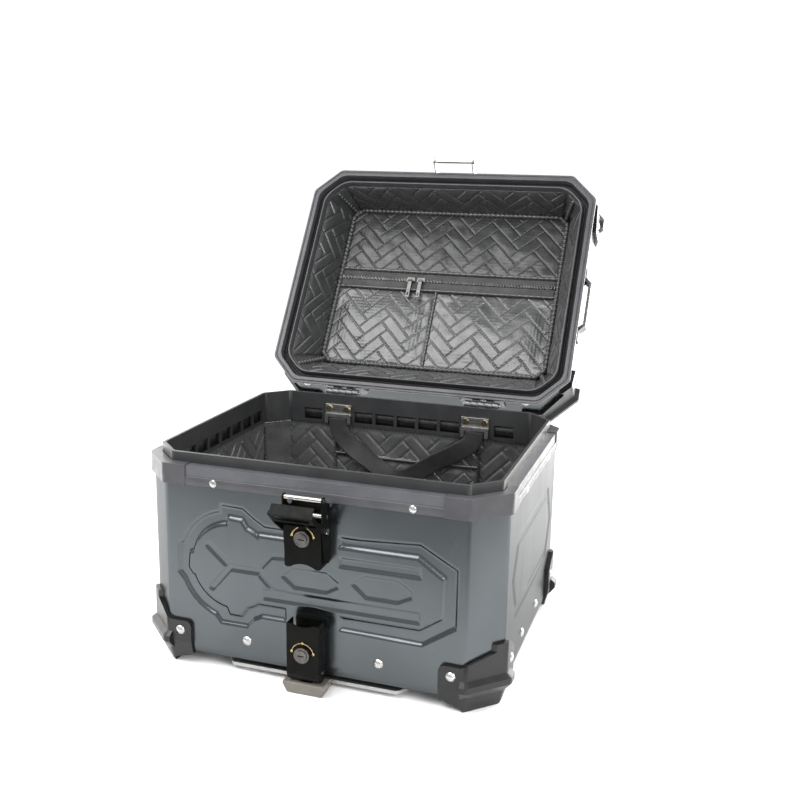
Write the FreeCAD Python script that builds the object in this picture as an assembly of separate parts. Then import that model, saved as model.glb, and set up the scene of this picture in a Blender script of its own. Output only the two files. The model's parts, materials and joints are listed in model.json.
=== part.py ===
"""Aluminium motorcycle top case with a hinged lid, drawn with the lid open.

Row frame in millimetres: +X across the case, -Y the latch side, +Z up. The origin is the middle of
the slotted bolt pattern, on the underside of the quick-release plate. Everything is drawn with heights
above the feet and lowered by DATUM_Z at the end, and the lid's pieces are drawn closed and then turned
about the hinge axis into the open rest pose.
"""
import FreeCAD, Part
import math
import os

V = FreeCAD.Vector

# ---- driving dimensions, millimetres ----
WALL_X = 211.4            # half width over the wall sheet
WALL_Y = 172.6            # half depth over the wall sheet
CHAMFER = 34.7            # leg of the vertical corner chamfer
BEND_RADIUS = 7.0         # vertical bends of the sheet
SHEET = 1.5               # sheet thickness
DATUM_Z = 6.5             # height of the origin above the feet
FLOOR_Z = 13.0            # underside of the case sheet
BEND_Z = 27.0             # where the wall starts to curve into the floor
RIM_Z = 221.0             # lower edge of the case rim
SHOULDER_Z = 243.2        # top of the case rim's shoulder
LIP_Z = 255.0             # top of the sealing lip inside the rim
LID_Z = 245.0             # mating face of the lid rim
LID_TOP_Z = 329.0         # top of the lid sheet
HINGE_Y = 182.0
HINGE_Z = 254.0
LID_OPEN_DEG = 123.7      # how far the lid leans back in the rest pose
HINGE_X = 101.0           # centre of each hinge
SLEEVE = 3.6              # how far the corner sleeves stand outside the wall
SKIRT = 2.1               # how far the rim skirt stands outside the wall
LATCH_FRONT_Y = -195.0    # outer face of the upper latch cover
RIM_WINDOW = 26.5         # width of the openings in the rim's inner skirt
RIM_PITCH = 31.0
STRAP_X = 98.0            # centre of each strap bracket
RIVET_R = 5.5
SHANK_R = 2.4
GAP = 0.3                 # clearance between pieces that move past each other
RUN = 0.06                # radial running clearance of pins in holes
SNUG = 0.02               # radial clearance of pins that are fixed in their holes


# ---- outline and solid helpers ----
def on_z(z):
    return lambda a, b: V(a, b, z)


def on_y(y):
    return lambda a, b: V(a, y, b)


def on_x(x):
    return lambda a, b: V(x, a, b)


def outline(points, radius, place):
    """Closed wire through 2-D points with every corner rounded; radius is one number or a list."""
    radii = radius if isinstance(radius, (list, tuple)) else [radius] * len(points)
    count = len(points)
    edges = []
    previous_end = None
    first_start = None
    for i in range(count):
        corner = V(points[i][0], points[i][1], 0)
        before = V(points[i - 1][0], points[i - 1][1], 0)
        after = V(points[(i + 1) % count][0], points[(i + 1) % count][1], 0)
        to_before = (before - corner).normalize()
        to_after = (after - corner).normalize()
        half = to_before.getAngle(to_after) / 2
        if radii[i] > 0:
            cut = radii[i] / math.tan(half)
            start = corner + to_before * cut
            end = corner + to_after * cut
            bisector = (to_before + to_after).normalize()
            middle = corner + bisector * (radii[i] / math.sin(half) - radii[i])
        else:
            start = end = corner
        if previous_end is not None and previous_end.distanceToPoint(start) > 1e-6:
            edges.append(Part.LineSegment(place(previous_end.x, previous_end.y),
                                          place(start.x, start.y)).toShape())
        if radii[i] > 0:
            edges.append(Part.Arc(place(start.x, start.y), place(middle.x, middle.y),
                                  place(end.x, end.y)).toShape())
        first_start = first_start or start
        previous_end = end
    if previous_end.distanceToPoint(first_start) > 1e-6:
        edges.append(Part.LineSegment(place(previous_end.x, previous_end.y),
                                      place(first_start.x, first_start.y)).toShape())
    return Part.Wire(edges)


def prism(points, radius, place, direction):
    return Part.Face(outline(points, radius, place)).extrude(direction)


def box(x0, x1, y0, y1, z0, z1):
    return Part.makeBox(x1 - x0, y1 - y0, z1 - z0, V(x0, y0, z0))


def rod(x0, x1, y, z, radius):
    """Cylinder along X."""
    return Part.makeCylinder(radius, x1 - x0, V(x0, y, z), V(1, 0, 0))


def post(x, y0, y1, z, radius):
    """Cylinder along Y."""
    return Part.makeCylinder(radius, y1 - y0, V(x, y0, z), V(0, 1, 0))


def fuse(shapes):
    result = shapes[0]
    for shape in shapes[1:]:
        result = result.fuse(shape)
    return result.removeSplitter()


def cut(shape, tools):
    for tool in tools:
        shape = shape.cut(tool)
    return shape


def turned(shape, origin, axis, degrees):
    moved = shape.copy()
    moved.rotate(origin, axis, degrees)
    return moved


def mirror_x(shape):
    return shape.mirror(V(0, 0, 0), V(1, 0, 0))


def mirror_y(shape):
    return shape.mirror(V(0, 0, 0), V(0, 1, 0))


def octagon_points(inset):
    """The case's plan outline, moved inwards by inset."""
    x = WALL_X - inset
    y = WALL_Y - inset
    leg = CHAMFER - inset * (2 - math.sqrt(2))
    return [(x - leg, -y), (x, -y + leg), (x, y - leg), (x - leg, y),
            (-x + leg, y), (-x, y - leg), (-x, -y + leg), (-x + leg, -y)]


def plate(inset, z0, z1):
    return prism(octagon_points(inset), BEND_RADIUS, on_z(z0), V(0, 0, z1 - z0))


def ring(outer, inner, z0, z1):
    return plate(outer, z0, z1).cut(plate(inner, z0 - 1, z1 + 1))


def stack(sections):
    """Solid through octagon sections given as (inset, z)."""
    wires = [outline(octagon_points(inset), BEND_RADIUS, on_z(z)) for inset, z in sections]
    return Part.makeLoft(wires, True, True)


parts = {}


def add(name, shape, lid=False):
    """Keep a sub-part; lid pieces are turned from the closed to the open pose."""
    if lid:
        shape = turned(shape, V(0, HINGE_Y, HINGE_Z), V(1, 0, 0), -LID_OPEN_DEG)
    parts[name] = shape.translated(V(0, 0, -DATUM_Z))


# ---- rivets: domed heads on the outside, shanks through the sheet ----
def rivet(x, y, z, out_x, out_y, depth):
    """Rivet whose head sits on the point and faces (out_x, out_y); depth is the shank's length."""
    out = V(out_x, out_y, 0).normalize()
    dome_height = 2.6
    sphere_r = (RIVET_R ** 2 + dome_height ** 2) / (2 * dome_height)
    base = V(x, y, z)
    head = Part.makeSphere(sphere_r, base - out * (sphere_r - dome_height))
    head = head.common(Part.makeCylinder(RIVET_R, dome_height, base, out))
    return head.fuse(Part.makeCylinder(SHANK_R, depth, base - out * depth, out))


def rivet_hole(x, y, z, out_x, out_y, depth):
    out = V(out_x, out_y, 0).normalize()
    return Part.makeCylinder(SHANK_R + 0.03, depth + 2, V(x, y, z) - out * (depth + 1), out)


RIM_RIVETS_Z = 226.2
RIM_RIVETS = ([(x, -WALL_Y - SKIRT, RIM_RIVETS_Z, 0, -1) for x in (-115.6, 115.6)]
              + [(x, WALL_Y + SKIRT, RIM_RIVETS_Z, 0, 1) for x in (-138, 138)]
              + [(s * (WALL_X + SKIRT), y, RIM_RIVETS_Z, s, 0) for s in (-1, 1) for y in (-67, 67)])
LOWER_RIVETS_Z = 42.0
LOWER_RIVETS = ([(x, -WALL_Y, LOWER_RIVETS_Z, 0, -1) for x in (-79, 79)]
                + [(x, WALL_Y, LOWER_RIVETS_Z, 0, 1) for x in (-79, 79)]
                + [(s * WALL_X, y, LOWER_RIVETS_Z, s, 0) for s in (-1, 1) for y in (-42, 42)])
GUARD_OUT = 4.5           # thickness of the corner guards' tabs
GUARD_RIVETS_Z = 44.0
GUARD_RIVETS = ([(sx * 162, sy * (WALL_Y + GUARD_OUT), GUARD_RIVETS_Z, 0, sy)
                 for sx in (-1, 1) for sy in (-1, 1)]
                + [(sx * (WALL_X + GUARD_OUT), sy * 122, GUARD_RIVETS_Z + 6, sx, 0)
                   for sx in (-1, 1) for sy in (-1, 1)])
LID_RIVETS_Z = 256.5
LID_RIVETS = ([(x, WALL_Y, LID_RIVETS_Z, 0, 1) for x in (-159, 159)]
              + [(x, -WALL_Y, LID_RIVETS_Z, 0, -1) for x in (-115.6, 115.6)]
              + [(s * WALL_X, y, LID_RIVETS_Z, s, 0) for s in (-1, 1) for y in (-67, 67)])
LID_MIRROR_Z = LID_TOP_Z + FLOOR_Z      # height that mirrors the case bottom onto the lid top
LID_GUARD_RIVETS = [(x, y, LID_MIRROR_Z - z, out_x, out_y) for x, y, z, out_x, out_y in GUARD_RIVETS]


def rivet_group(places, depth):
    return Part.makeCompound([rivet(*place, depth) for place in places])


def rivet_holes(places, depth):
    return [rivet_hole(*place, depth) for place in places]


# ---- case: wall, floor, rim, sleeves, guards ----
def pressed_band(y_out, depth):
    """The stamped groove on the front wall: between an outer and an inner outline, latch zone left out."""
    outer = [(-108, 201), (-67, 201), (-57, 182), (57, 182), (124, 186), (165, 163), (165, 98),
             (128, 73), (34, 76), (-61, 75), (-78, 60), (-111, 60), (-131, 73), (-163, 110),
             (-154, 152), (-112, 193)]
    inner = [(-102, 189), (-80, 187), (-62, 172), (122, 172), (151, 152), (150, 106),
             (125, 89), (34, 88), (-61, 89), (-80, 71), (-110, 78), (-140, 100), (-149, 140), (-126, 168)]
    band = prism(outer, 4, on_y(y_out), V(0, depth, 0))
    band = band.cut(prism(inner, 4, on_y(y_out - 1), V(0, depth + 2, 0)))
    return band.cut(box(-31, 34, y_out - 1, y_out + depth + 1, 50, 210))


def case_wall():
    outer = stack([(11.0, FLOOR_Z), (4.2, FLOOR_Z + 2.6), (1.0, FLOOR_Z + 7.5), (0, BEND_Z),
                   (0, SHOULDER_Z - 2)])
    inner = stack([(12.5, FLOOR_Z - 1), (11.0, FLOOR_Z + 0.9), (5.4, FLOOR_Z + 3.6),
                   (SHEET + 1.0, FLOOR_Z + 8), (SHEET, BEND_Z), (SHEET, SHOULDER_Z + 1)])
    wall = outer.cut(inner).cut(plate(22, FLOOR_Z - 1, FLOOR_Z + 2))
    press = 0.9
    wall = wall.cut(pressed_band(-WALL_Y - 1, 1 + press))
    wall = wall.fuse(pressed_band(-WALL_Y + press, SHEET))
    return cut(wall, rivet_holes(RIM_RIVETS + LOWER_RIVETS + GUARD_RIVETS, 8))


def case_floor():
    """Flat pan that closes the bottom, lying on the wall's inturned flange."""
    return plate(11.2, FLOOR_Z + 0.92, FLOOR_Z + 0.92 + SHEET)


def case_rim():
    """Plastic rim: skirt over the sheet, shoulder, sealing lip and a ribbed inner skirt."""
    rim = fuse([
        ring(-SKIRT, 0, RIM_Z, SHOULDER_Z),
        ring(-SKIRT, 12.9, SHOULDER_Z - 2, SHOULDER_Z),
        ring(8.9, 12.9, SHOULDER_Z - 2, LIP_Z),
        ring(9.9, 12.9, 212.5, SHOULDER_Z - 1)])
    half, low, high = RIM_WINDOW / 2, 217.0, 233.0
    front = [i * RIM_PITCH for i in range(-5, 6)]
    # the strap brackets are screwed to the solid stretches of the rear side
    rear = [x for x in front if abs(x) < STRAP_X - 30] + [-STRAP_X - 39, STRAP_X + 39]
    sides = [(i + 0.5) * RIM_PITCH for i in range(-4, 4)]
    tools = [box(x - half, x + half, -170, -150, low, high) for x in front]
    tools += [box(x - half, x + half, 150, 170, low, high) for x in rear]
    for middle in (-WALL_X + 12, WALL_X - 12):
        tools += [box(middle - 8, middle + 8, y - half, y + half, low, high) for y in sides]
    return cut(rim, tools + rivet_holes(RIM_RIVETS, 8))


def rim_sleeve():
    """Corner sleeve of the front right corner: wall and a thin top flange."""
    shell = ring(-SLEEVE, -SKIRT, RIM_Z - 0.5, SHOULDER_Z + 1.2)
    flange = ring(-SKIRT, 8.5, SHOULDER_Z, SHOULDER_Z + 1.2)
    corner = box(150, 230, -190, -115, 200, 260)
    return fuse([shell.common(corner), flange.common(corner)])


def guard(foot_z):
    """Corner guard of the front right corner; foot_z is where its lower end is cut flat."""
    side_top, front_top = 70.0, 56.0
    block = stack([(4.0, 0), (2.0, 5), (-GUARD_OUT + 1, 26), (-GUARD_OUT, 30), (-GUARD_OUT, 80)])
    hollow = stack([(40.0, -1), (11.0, FLOOR_Z - 0.01), (4.2, FLOOR_Z + 2.6), (1.0, FLOOR_Z + 7.5),
                    (0, BEND_Z), (0, 90)])
    shell = block.cut(hollow)
    # plan window: a front tab, the chamfer face and a side tab
    front = prism([(148, 14), (188, 0), (188, front_top), (148, front_top)], [3, 0, 0, 7],
                  on_y(-200), V(0, 60, 0)).common(box(140, 186, -200, -140, 0, 90))
    slope = prism([(173, 0), (230, 0), (230, side_top + 6), (173, front_top)], 0,
                  on_y(-200), V(0, 66, 0))
    side = prism([(-150, 0), (-108, 14), (-108, front_top + 4), (-134, side_top + 6), (-150, side_top + 6)],
                 [0, 3, 7, 3, 0], on_x(195), V(40, 0, 0))
    body = shell.common(fuse([front, slope, side]))
    # stepped ridge across the chamfer face
    ridge = stack([(-2.0, 19), (-10.0, 29), (-10.0, 36), (-GUARD_OUT + 0.5, 41)])
    ridge = ridge.cut(hollow)
    wedge = prism([(181, -230), (240, -230), (240, -127), (206, -127), (170, -163)], 0,
                  on_z(0), V(0, 0, 90))
    body = body.fuse(ridge.common(wedge))
    body = body.cut(box(100, 300, -300, -50, -10, foot_z))
    return cut(body.removeSplitter(), rivet_holes(GUARD_RIVETS, 8))


def four_corners(shape):
    right = {"front_right": shape, "rear_right": mirror_y(shape)}
    left = {name.replace("right", "left"): mirror_x(part) for name, part in right.items()}
    return {**right, **left}


def make_case():
    add("case_wall", case_wall())
    add("case_floor", case_floor())
    add("case_rim", case_rim())
    add("rim_sleeves", Part.makeCompound(list(four_corners(rim_sleeve()).values())))
    for corner, shape in four_corners(guard(0)).items():
        add("corner_guard_" + corner, shape)
    add("wall_rivets", Part.makeCompound([rivet_group(RIM_RIVETS, SKIRT + SHEET),
                                          rivet_group(LOWER_RIVETS, SHEET)]))
    add("guard_rivets", rivet_group(GUARD_RIVETS, GUARD_OUT + SHEET))


# ---- lid ----
def rectangle(half_x, radius, z, height):
    """Rounded block in the lid top's proportions."""
    half_y = half_x * 0.76
    return prism([(-half_x, -half_y), (half_x, -half_y), (half_x, half_y), (-half_x, half_y)], radius,
                 on_z(z), V(0, 0, height))


def lid_shell():
    outer = stack([(0, LID_Z + 4.5), (0, LID_MIRROR_Z - BEND_Z), (1.0, LID_TOP_Z - 7.5),
                   (4.2, LID_TOP_Z - 2.6), (11.0, LID_TOP_Z)])
    inner = stack([(SHEET, LID_Z + 3), (SHEET, LID_MIRROR_Z - BEND_Z), (SHEET + 1.0, LID_TOP_Z - 8),
                   (5.4, LID_TOP_Z - 3.6), (11.0, LID_TOP_Z - SHEET)])
    rib, rib_width = 1.2, 12
    shell = outer.cut(inner)
    for half_x in (150, 96):
        frame = rectangle(half_x, 16, LID_TOP_Z, rib)
        frame = frame.cut(rectangle(half_x - rib_width, 12, LID_TOP_Z - 1, rib + 2))
        shell = shell.fuse(frame)
    return cut(shell, rivet_holes(LID_RIVETS + LID_GUARD_RIVETS, 8))


def lid_rim():
    """Rim under the lid: outer foot, channel for the seal and an inner wall."""
    rim = fuse([
        ring(-SLEEVE, 5.9, LID_Z, LID_Z + 4.5),
        ring(2.0, 5.9, LID_Z, 262),
        ring(2.0, 16.4, 260, 262),
        ring(14.1, 16.4, LID_Z + 2, 262)])
    return cut(rim, rivet_holes(LID_RIVETS, 4))


def lid_guard():
    """Lid corner protector of the front right corner: the case guard mirrored upwards."""
    return guard(LID_MIRROR_Z - LID_TOP_Z - 3).mirror(V(0, 0, LID_MIRROR_Z / 2), V(0, 0, 1))


def side_rail():
    """Bent flat bar on the lid's right side for tie-down straps."""
    y0, y1 = -30.0, 57.0
    outer = [(WALL_X, y0), (221.4, y0 + 11), (221.4, y1 - 11), (WALL_X, y1)]
    inner = [(WALL_X - 1, y0 + 7), (217.6, y0 + 13), (217.6, y1 - 13), (WALL_X - 1, y1 - 7)]
    bar = prism(outer, 0, on_z(270), V(0, 0, 14)).cut(prism(inner, 0, on_z(269), V(0, 0, 16)))
    feet = [box(WALL_X, WALL_X + 2, y0 - 12, y0 + 7, 270, 284),
            box(WALL_X, WALL_X + 2, y1 - 7, y1 + 12, 270, 284)]
    return fuse([bar] + feet)


STRIKER_Y, STRIKER_Z = -189.5, 236.5    # striker pin with the lid closed


def striker_bracket():
    back = box(-34, 34, -WALL_Y - 2, -WALL_Y, 251, 275)
    cheek = prism([(-174.6, 251), (-174.6, 273), (-186, 264), (-195, 246), (-195, 229), (-186, 229),
                   (-178, 246), (-178, 251)], [0, 3, 4, 4, 3, 3, 1, 0], on_x(28.2), V(1.6, 0, 0))
    hole = rod(-40, 40, STRIKER_Y, STRIKER_Z, 2.6)
    return fuse([back, cheek, mirror_x(cheek)]).cut(hole)


def striker_pin():
    middle = rod(-30.4, 30.4, STRIKER_Y, STRIKER_Z, 2.58)
    heads = [rod(x, x + 1.6, STRIKER_Y, STRIKER_Z, 3.6) for x in (-31.6, 30.0)]
    return fuse([middle] + heads)


LINING_Z = 309.0          # inner face of the lid's quilted panel, closed
PANEL_X = 168.0
PANEL_Y0, PANEL_Y1 = -144.0, 113.0
ZIP_Y = -27.0
SLIDER_X = (-54.0, -38.0)
PULL_Y, PULL_Z = ZIP_Y + 2.2, LINING_Z - 3.9     # axis of the pull tabs


def panel_outline(grow, z):
    x, y0, y1, leg = PANEL_X + grow, PANEL_Y0 - grow, PANEL_Y1 + grow, 12.0
    points = [(x - leg, y0), (x, y0 + leg), (x, y1 - leg), (x - leg, y1),
              (-x + leg, y1), (-x, y1 - leg), (-x, y0 + leg), (-x + leg, y0)]
    return outline(points, BEND_RADIUS, on_z(z))


def funnel(rim_inset, rim_z, grow, panel_z):
    """Solid that narrows from the rim's octagon to the panel's outline."""
    rim = outline(octagon_points(rim_inset), BEND_RADIUS, on_z(rim_z))
    return Part.makeLoft([rim, panel_outline(grow, panel_z)], True, True)


def lid_linings():
    """Soft lining: sloping walls, upper quilted panel, two pocket fields, zipper tape and teeth."""
    room = funnel(21.0, 261.5, 1.0, LINING_Z + 8)
    walls = funnel(17.0, 262.3, 7.0, LINING_Z + 7).cut(room)
    add("lid_wall_lining", walls, lid=True)
    add("lid_backing_board", plate(30.0, LINING_Z + 7.4, LINING_Z + 10.4), lid=True)
    upper = box(-PANEL_X, PANEL_X, PANEL_Y0 + 1, -42.0, LINING_Z, LINING_Z + 7)
    left = box(-PANEL_X, -13.0, -12.0, PANEL_Y1 - 1, LINING_Z, LINING_Z + 5)
    right = box(-11.0, PANEL_X, -12.0, PANEL_Y1 - 1, LINING_Z, LINING_Z + 5)
    add("lid_upper_panel", upper.common(room), lid=True)
    add("lid_pocket_left", left.common(room), lid=True)
    add("lid_pocket_right", right.common(room), lid=True)
    low, high = LINING_Z + 0.5, LINING_Z + 2.5
    add("zipper_tape", Part.makeCompound([box(-166, 166, -41.6, ZIP_Y - 2.9, low, high),
                                          box(-166, 166, ZIP_Y + 2.9, -12.4, low, high)]), lid=True)
    teeth = [box(-163, 163, ZIP_Y - 2.6, ZIP_Y + 2.6, low, high)]
    for x in (-164.5, 162.5):
        teeth.append(box(x, x + 2, ZIP_Y - 2.6, ZIP_Y + 2.6, LINING_Z - 1.0, high))
    add("zipper_teeth", fuse(teeth), lid=True)


def zip_slider(x):
    """Slider body over the teeth with a bar that holds the pull tab."""
    z = LINING_Z
    body = prism([(x - 6, ZIP_Y - 4), (x + 6, ZIP_Y - 4), (x + 6, ZIP_Y + 4), (x - 6, ZIP_Y + 4)],
                 1.5, on_z(z - 1.6), V(0, 0, 1.8))
    posts = [box(x + a, x + a + 1.3, PULL_Y - 1, PULL_Y + 1, PULL_Z - 0.7, z - 1.6) for a in (-4.6, 3.3)]
    return fuse([body, rod(x - 4.6, x + 4.6, PULL_Y, PULL_Z, 0.7)] + posts)


def pull_tab(x):
    """Pull tab looped round the slider's bar and hanging down the panel."""
    tab = box(x - 2.8, x + 2.8, PULL_Y + 0.9, PULL_Y + 28, PULL_Z - 0.8, PULL_Z + 0.8)
    tab = tab.cut(box(x - 1.3, x + 1.3, PULL_Y + 20, PULL_Y + 25, PULL_Z - 2, PULL_Z + 2))
    eye = rod(x - 2.8, x + 2.8, PULL_Y, PULL_Z, 1.8)
    return fuse([tab, eye]).cut(rod(x - 4, x + 4, PULL_Y, PULL_Z, 0.78))


def make_lid():
    add("lid_shell", lid_shell(), lid=True)
    add("lid_rim", lid_rim(), lid=True)
    add("lid_seal", ring(6.6, 13.4, 255.9, 259.98), lid=True)
    add("lid_corner_guards", Part.makeCompound(list(four_corners(lid_guard()).values())), lid=True)
    rail = side_rail()
    add("tie_rails", Part.makeCompound([rail, mirror_x(rail)]), lid=True)
    add("lid_rivets", Part.makeCompound([rivet_group(LID_RIVETS, SHEET),
                                         rivet_group(LID_GUARD_RIVETS, GUARD_OUT + SHEET)]), lid=True)
    add("striker_bracket", striker_bracket(), lid=True)
    add("striker_pin", striker_pin(), lid=True)
    lid_linings()
    for side, x in zip(("left", "right"), SLIDER_X):
        add("zip_slider_" + side, zip_slider(x), lid=True)
        add("zip_pull_" + side, pull_tab(x), lid=True)


# ---- hinges ----
KNUCKLE_R, HINGE_PIN_R = 5.0, 2.0
HINGE_PIN_LENGTH = 51.0
KNUCKLE_EDGES = [-24.0, -14.6, -5.0, 5.0, 14.6, 24.0]


def knuckles(indices, centre_x, hole):
    pieces = []
    for i in indices:
        x0 = centre_x + KNUCKLE_EDGES[i] + GAP / 2
        x1 = centre_x + KNUCKLE_EDGES[i + 1] - GAP / 2
        bore = rod(x0 - 1, x1 + 1, HINGE_Y, HINGE_Z, hole)
        pieces.append(rod(x0, x1, HINGE_Y, HINGE_Z, KNUCKLE_R).cut(bore))
    return pieces


def knuckle_room(indices, centre_x):
    room = []
    for i in indices:
        x0 = centre_x + KNUCKLE_EDGES[i] - GAP / 2
        x1 = centre_x + KNUCKLE_EDGES[i + 1] + GAP / 2
        room.append(rod(x0, x1, HINGE_Y, HINGE_Z, KNUCKLE_R + 0.5))
    return room


def case_leaf(centre_x):
    face = WALL_Y + SKIRT
    leaf = box(centre_x - 30, centre_x + 30, face, face + 2, 222, SHOULDER_Z)
    webs = []
    for i in (0, 2, 4):
        x0 = centre_x + KNUCKLE_EDGES[i] + GAP / 2
        x1 = centre_x + KNUCKLE_EDGES[i + 1] - GAP / 2
        webs.append(prism([(face + 1.8, 234), (face + 3, 234), (HINGE_Y + 4.4, 251), (HINGE_Y - 2, 254),
                           (HINGE_Y - 4.6, 252), (face + 1.8, 247)], 0, on_x(x0), V(x1 - x0, 0, 0)))
    bore = rod(centre_x - 40, centre_x + 40, HINGE_Y, HINGE_Z, HINGE_PIN_R + 0.01)
    leaf = fuse([leaf] + webs + knuckles((0, 2, 4), centre_x, HINGE_PIN_R + 0.01)).cut(bore)
    swept = Part.makeCylinder(KNUCKLE_R + 0.5, 200, V(centre_x - 100, HINGE_Y, HINGE_Z), V(1, 0, 0))
    swept = swept.common(fuse(knuckle_room((1, 3), centre_x)))
    return leaf.cut(swept)


def lid_leaf(centre_x, inward):
    """Lid leaf with its pointed end towards the case's middle; inward is +1 or -1 along X."""
    tip = centre_x + inward * 35
    root = centre_x - inward * 28
    blade = prism([(root, 251), (centre_x + inward * 27, 251), (tip, 262), (centre_x + inward * 27, 276),
                   (root, 276)], 1.5, on_y(WALL_Y), V(0, 2.2, 0))
    webs = []
    for i in (1, 3):
        x0 = centre_x + KNUCKLE_EDGES[i] + GAP / 2
        x1 = centre_x + KNUCKLE_EDGES[i + 1] - GAP / 2
        webs.append(prism([(WALL_Y, 266), (WALL_Y, 252), (WALL_Y + 4.8, 251), (HINGE_Y - 3, 251),
                           (HINGE_Y + 4, 257)], 0, on_x(x0), V(x1 - x0, 0, 0)))
    hole = rod(centre_x - 40, centre_x + 40, HINGE_Y, HINGE_Z, HINGE_PIN_R + RUN)
    leaf = fuse([blade] + webs + knuckles((1, 3), centre_x, HINGE_PIN_R + RUN)).cut(hole)
    return cut(leaf, knuckle_room((0, 2, 4), centre_x))


def make_hinges():
    add("hinge_case_leaves", Part.makeCompound([case_leaf(s * HINGE_X) for s in (-1, 1)]))
    for side, s in (("left", -1), ("right", 1)):
        add("hinge_lid_leaf_" + side, lid_leaf(s * HINGE_X, -s), lid=True)
    half = HINGE_PIN_LENGTH / 2
    add("hinge_pins", Part.makeCompound([
        rod(s * HINGE_X - half, s * HINGE_X + half, HINGE_Y, HINGE_Z, HINGE_PIN_R) for s in (-1, 1)]))


# ---- upper latch ----
UP_LEVER_Y, UP_LEVER_Z = -183.0, 208.0     # lever pivot
CLAW_Y, CLAW_Z = -189.0, 194.0             # claw pivot
ROD_Y, ROD_Z, ROD_R = -193.0, 229.0, 2.6   # fixed cross rod
LEVER_PIN_R, CLAW_STUD_R = 2.5, 2.0
BARREL_R, PLUG_R = 9.0, 6.5                # lock barrel and key plug, both locks
COVER_SKIN = 1.5                           # sheet of both lever covers
NOTCH_ARCH_R = 26.0                        # arc of the finger notch in both covers
CLAW_OPEN_DEG = 43.0
CLAW_TILT_DEG = 3.5                        # lean of the claw when it grips
UP_KEY_Z = 185.0


def upper_latch_base():
    back = box(-21.2, 21.2, -WALL_Y - 2, -WALL_Y, 152, 219)
    cheek = prism([(-WALL_Y, 156), (-189, 156), (-193.5, 190), (-196.6, 222), (-196.6, 232.6), (-189, 232.6),
                   (-186, 221), (-178, 215), (-WALL_Y, 215)], [0, 4, 4, 4, 3, 3, 3, 2, 0],
                  on_x(21.6), V(1.6, 0, 0))
    right = fuse([cheek, box(20.0, 22.0, -WALL_Y - 2, -WALL_Y, 156, 215)])
    base = fuse([back, right, mirror_x(right)])
    return cut(base, [rod(-40, 40, UP_LEVER_Y, UP_LEVER_Z, LEVER_PIN_R + SNUG),
                      rod(-40, 40, CLAW_Y, CLAW_Z, CLAW_STUD_R + SNUG),
                      rod(-40, 40, ROD_Y, ROD_Z, ROD_R + SNUG)])


def cover(front, half, z0, z1, notch_half):
    """Channel-shaped lever cover, open at the back, with an arched finger notch in its lower end."""
    skin, depth = COVER_SKIN, 16.5
    body = prism([(-half, z0), (half, z0), (half, z1), (-half, z1)], 3, on_y(front), V(0, depth, 0))
    body = body.cut(box(-half + skin, half - skin, front + skin, front + depth + 1, z0 - 1, z1 + 1))
    offset = math.sqrt(NOTCH_ARCH_R ** 2 - notch_half ** 2)
    return body.cut(post(0, front - 1, front + skin + 1, z0 - offset, NOTCH_ARCH_R))


def key_barrel(front, z):
    """Collar round the key plug."""
    collar = post(0, front - 3.5, front + 8, z, BARREL_R)
    return collar.cut(post(0, front - 5, front + 9, z, PLUG_R + RUN))


def key_plug(front, z, cam_y):
    """Key plug with a key slot in its face and a locking cam on its tail."""
    plug = post(0, front - 4.5, cam_y + 2, z, PLUG_R)
    slot = box(-3.6, 3.6, front - 5, front - 1.5, z - 0.6, z + 0.6)
    cam = prism([(-4, z - 4), (4, z - 4), (3, z + 12), (-3, z + 12)], 1.5, on_y(cam_y), V(0, 2, 0))
    return fuse([plug, cam]).cut(slot)


def upper_lever():
    front = LATCH_FRONT_Y
    body = cover(front, 21.2, 151, 198, 15)
    lug = prism([(-194, 184), (-178.5, 184), (-178.5, 210), (-182, 212.5), (-186, 212), (-193, 200)],
                [1, 1, 2, 2, 2, 2], on_x(19.7), V(1.5, 0, 0))
    lever = fuse([body, lug, mirror_x(lug)])
    return cut(lever, [rod(-30, 30, UP_LEVER_Y, UP_LEVER_Z, LEVER_PIN_R + RUN),
                       post(0, front - 6, front + 9, UP_KEY_Z, BARREL_R)])


def claw_slot(place, out):
    """Long round-ended slot through the claw's web, drawn in the claw's own outward and upward axes."""
    half, low, high = 20.4, 34.2, 43.0

    def in_web(x, r):
        start = place(x)(4.0, r)
        return V(start.x, start.y, start.z)

    corners = [(-half, low), (half, low), (half, high), (-half, high)]
    return prism(corners, 4.2, in_web, V(0, 6 * out[0], 6 * out[1]))


def claw_closed():
    """C-shaped claw that grips the cross rod and the striker pin, drawn gripping."""
    tilt = math.radians(90 + CLAW_TILT_DEG)
    up = (math.cos(tilt), math.sin(tilt))
    out = (-up[1], up[0])

    def place(x):
        return lambda o, r: V(x, CLAW_Y + o * out[0] + r * up[0], CLAW_Z + o * out[1] + r * up[1])

    arm = [(-4.2, -4.2), (4.2, -4.2), (7.8, 24), (7.8, 47.4), (3.4, 47.4), (3.4, 30), (-4.2, 8)]
    right = prism(arm, [4, 4, 4, 2, 1, 3, 3], place(23.6), V(1.5, 0, 0))
    web = prism([(6.2, 30.6), (7.8, 30.6), (7.8, 47.4), (6.2, 47.4)], 0, place(-25.1), V(50.2, 0, 0))
    top = prism([(-5, 45.8), (7.0, 45.8), (7.0, 47.4), (-5, 47.4)], [0.7, 0, 0, 0.7],
                place(-23.8), V(47.6, 0, 0))
    low = prism([(-2, 30.6), (7.0, 30.6), (7.0, 32.0), (-2, 32.0)], 0, place(-21.0), V(42.0, 0, 0))
    claw = fuse([web, top, low, right, mirror_x(right)])
    claw = claw.cut(claw_slot(place, out))
    return claw.cut(rod(-40, 40, CLAW_Y, CLAW_Z, CLAW_STUD_R + RUN))


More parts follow.
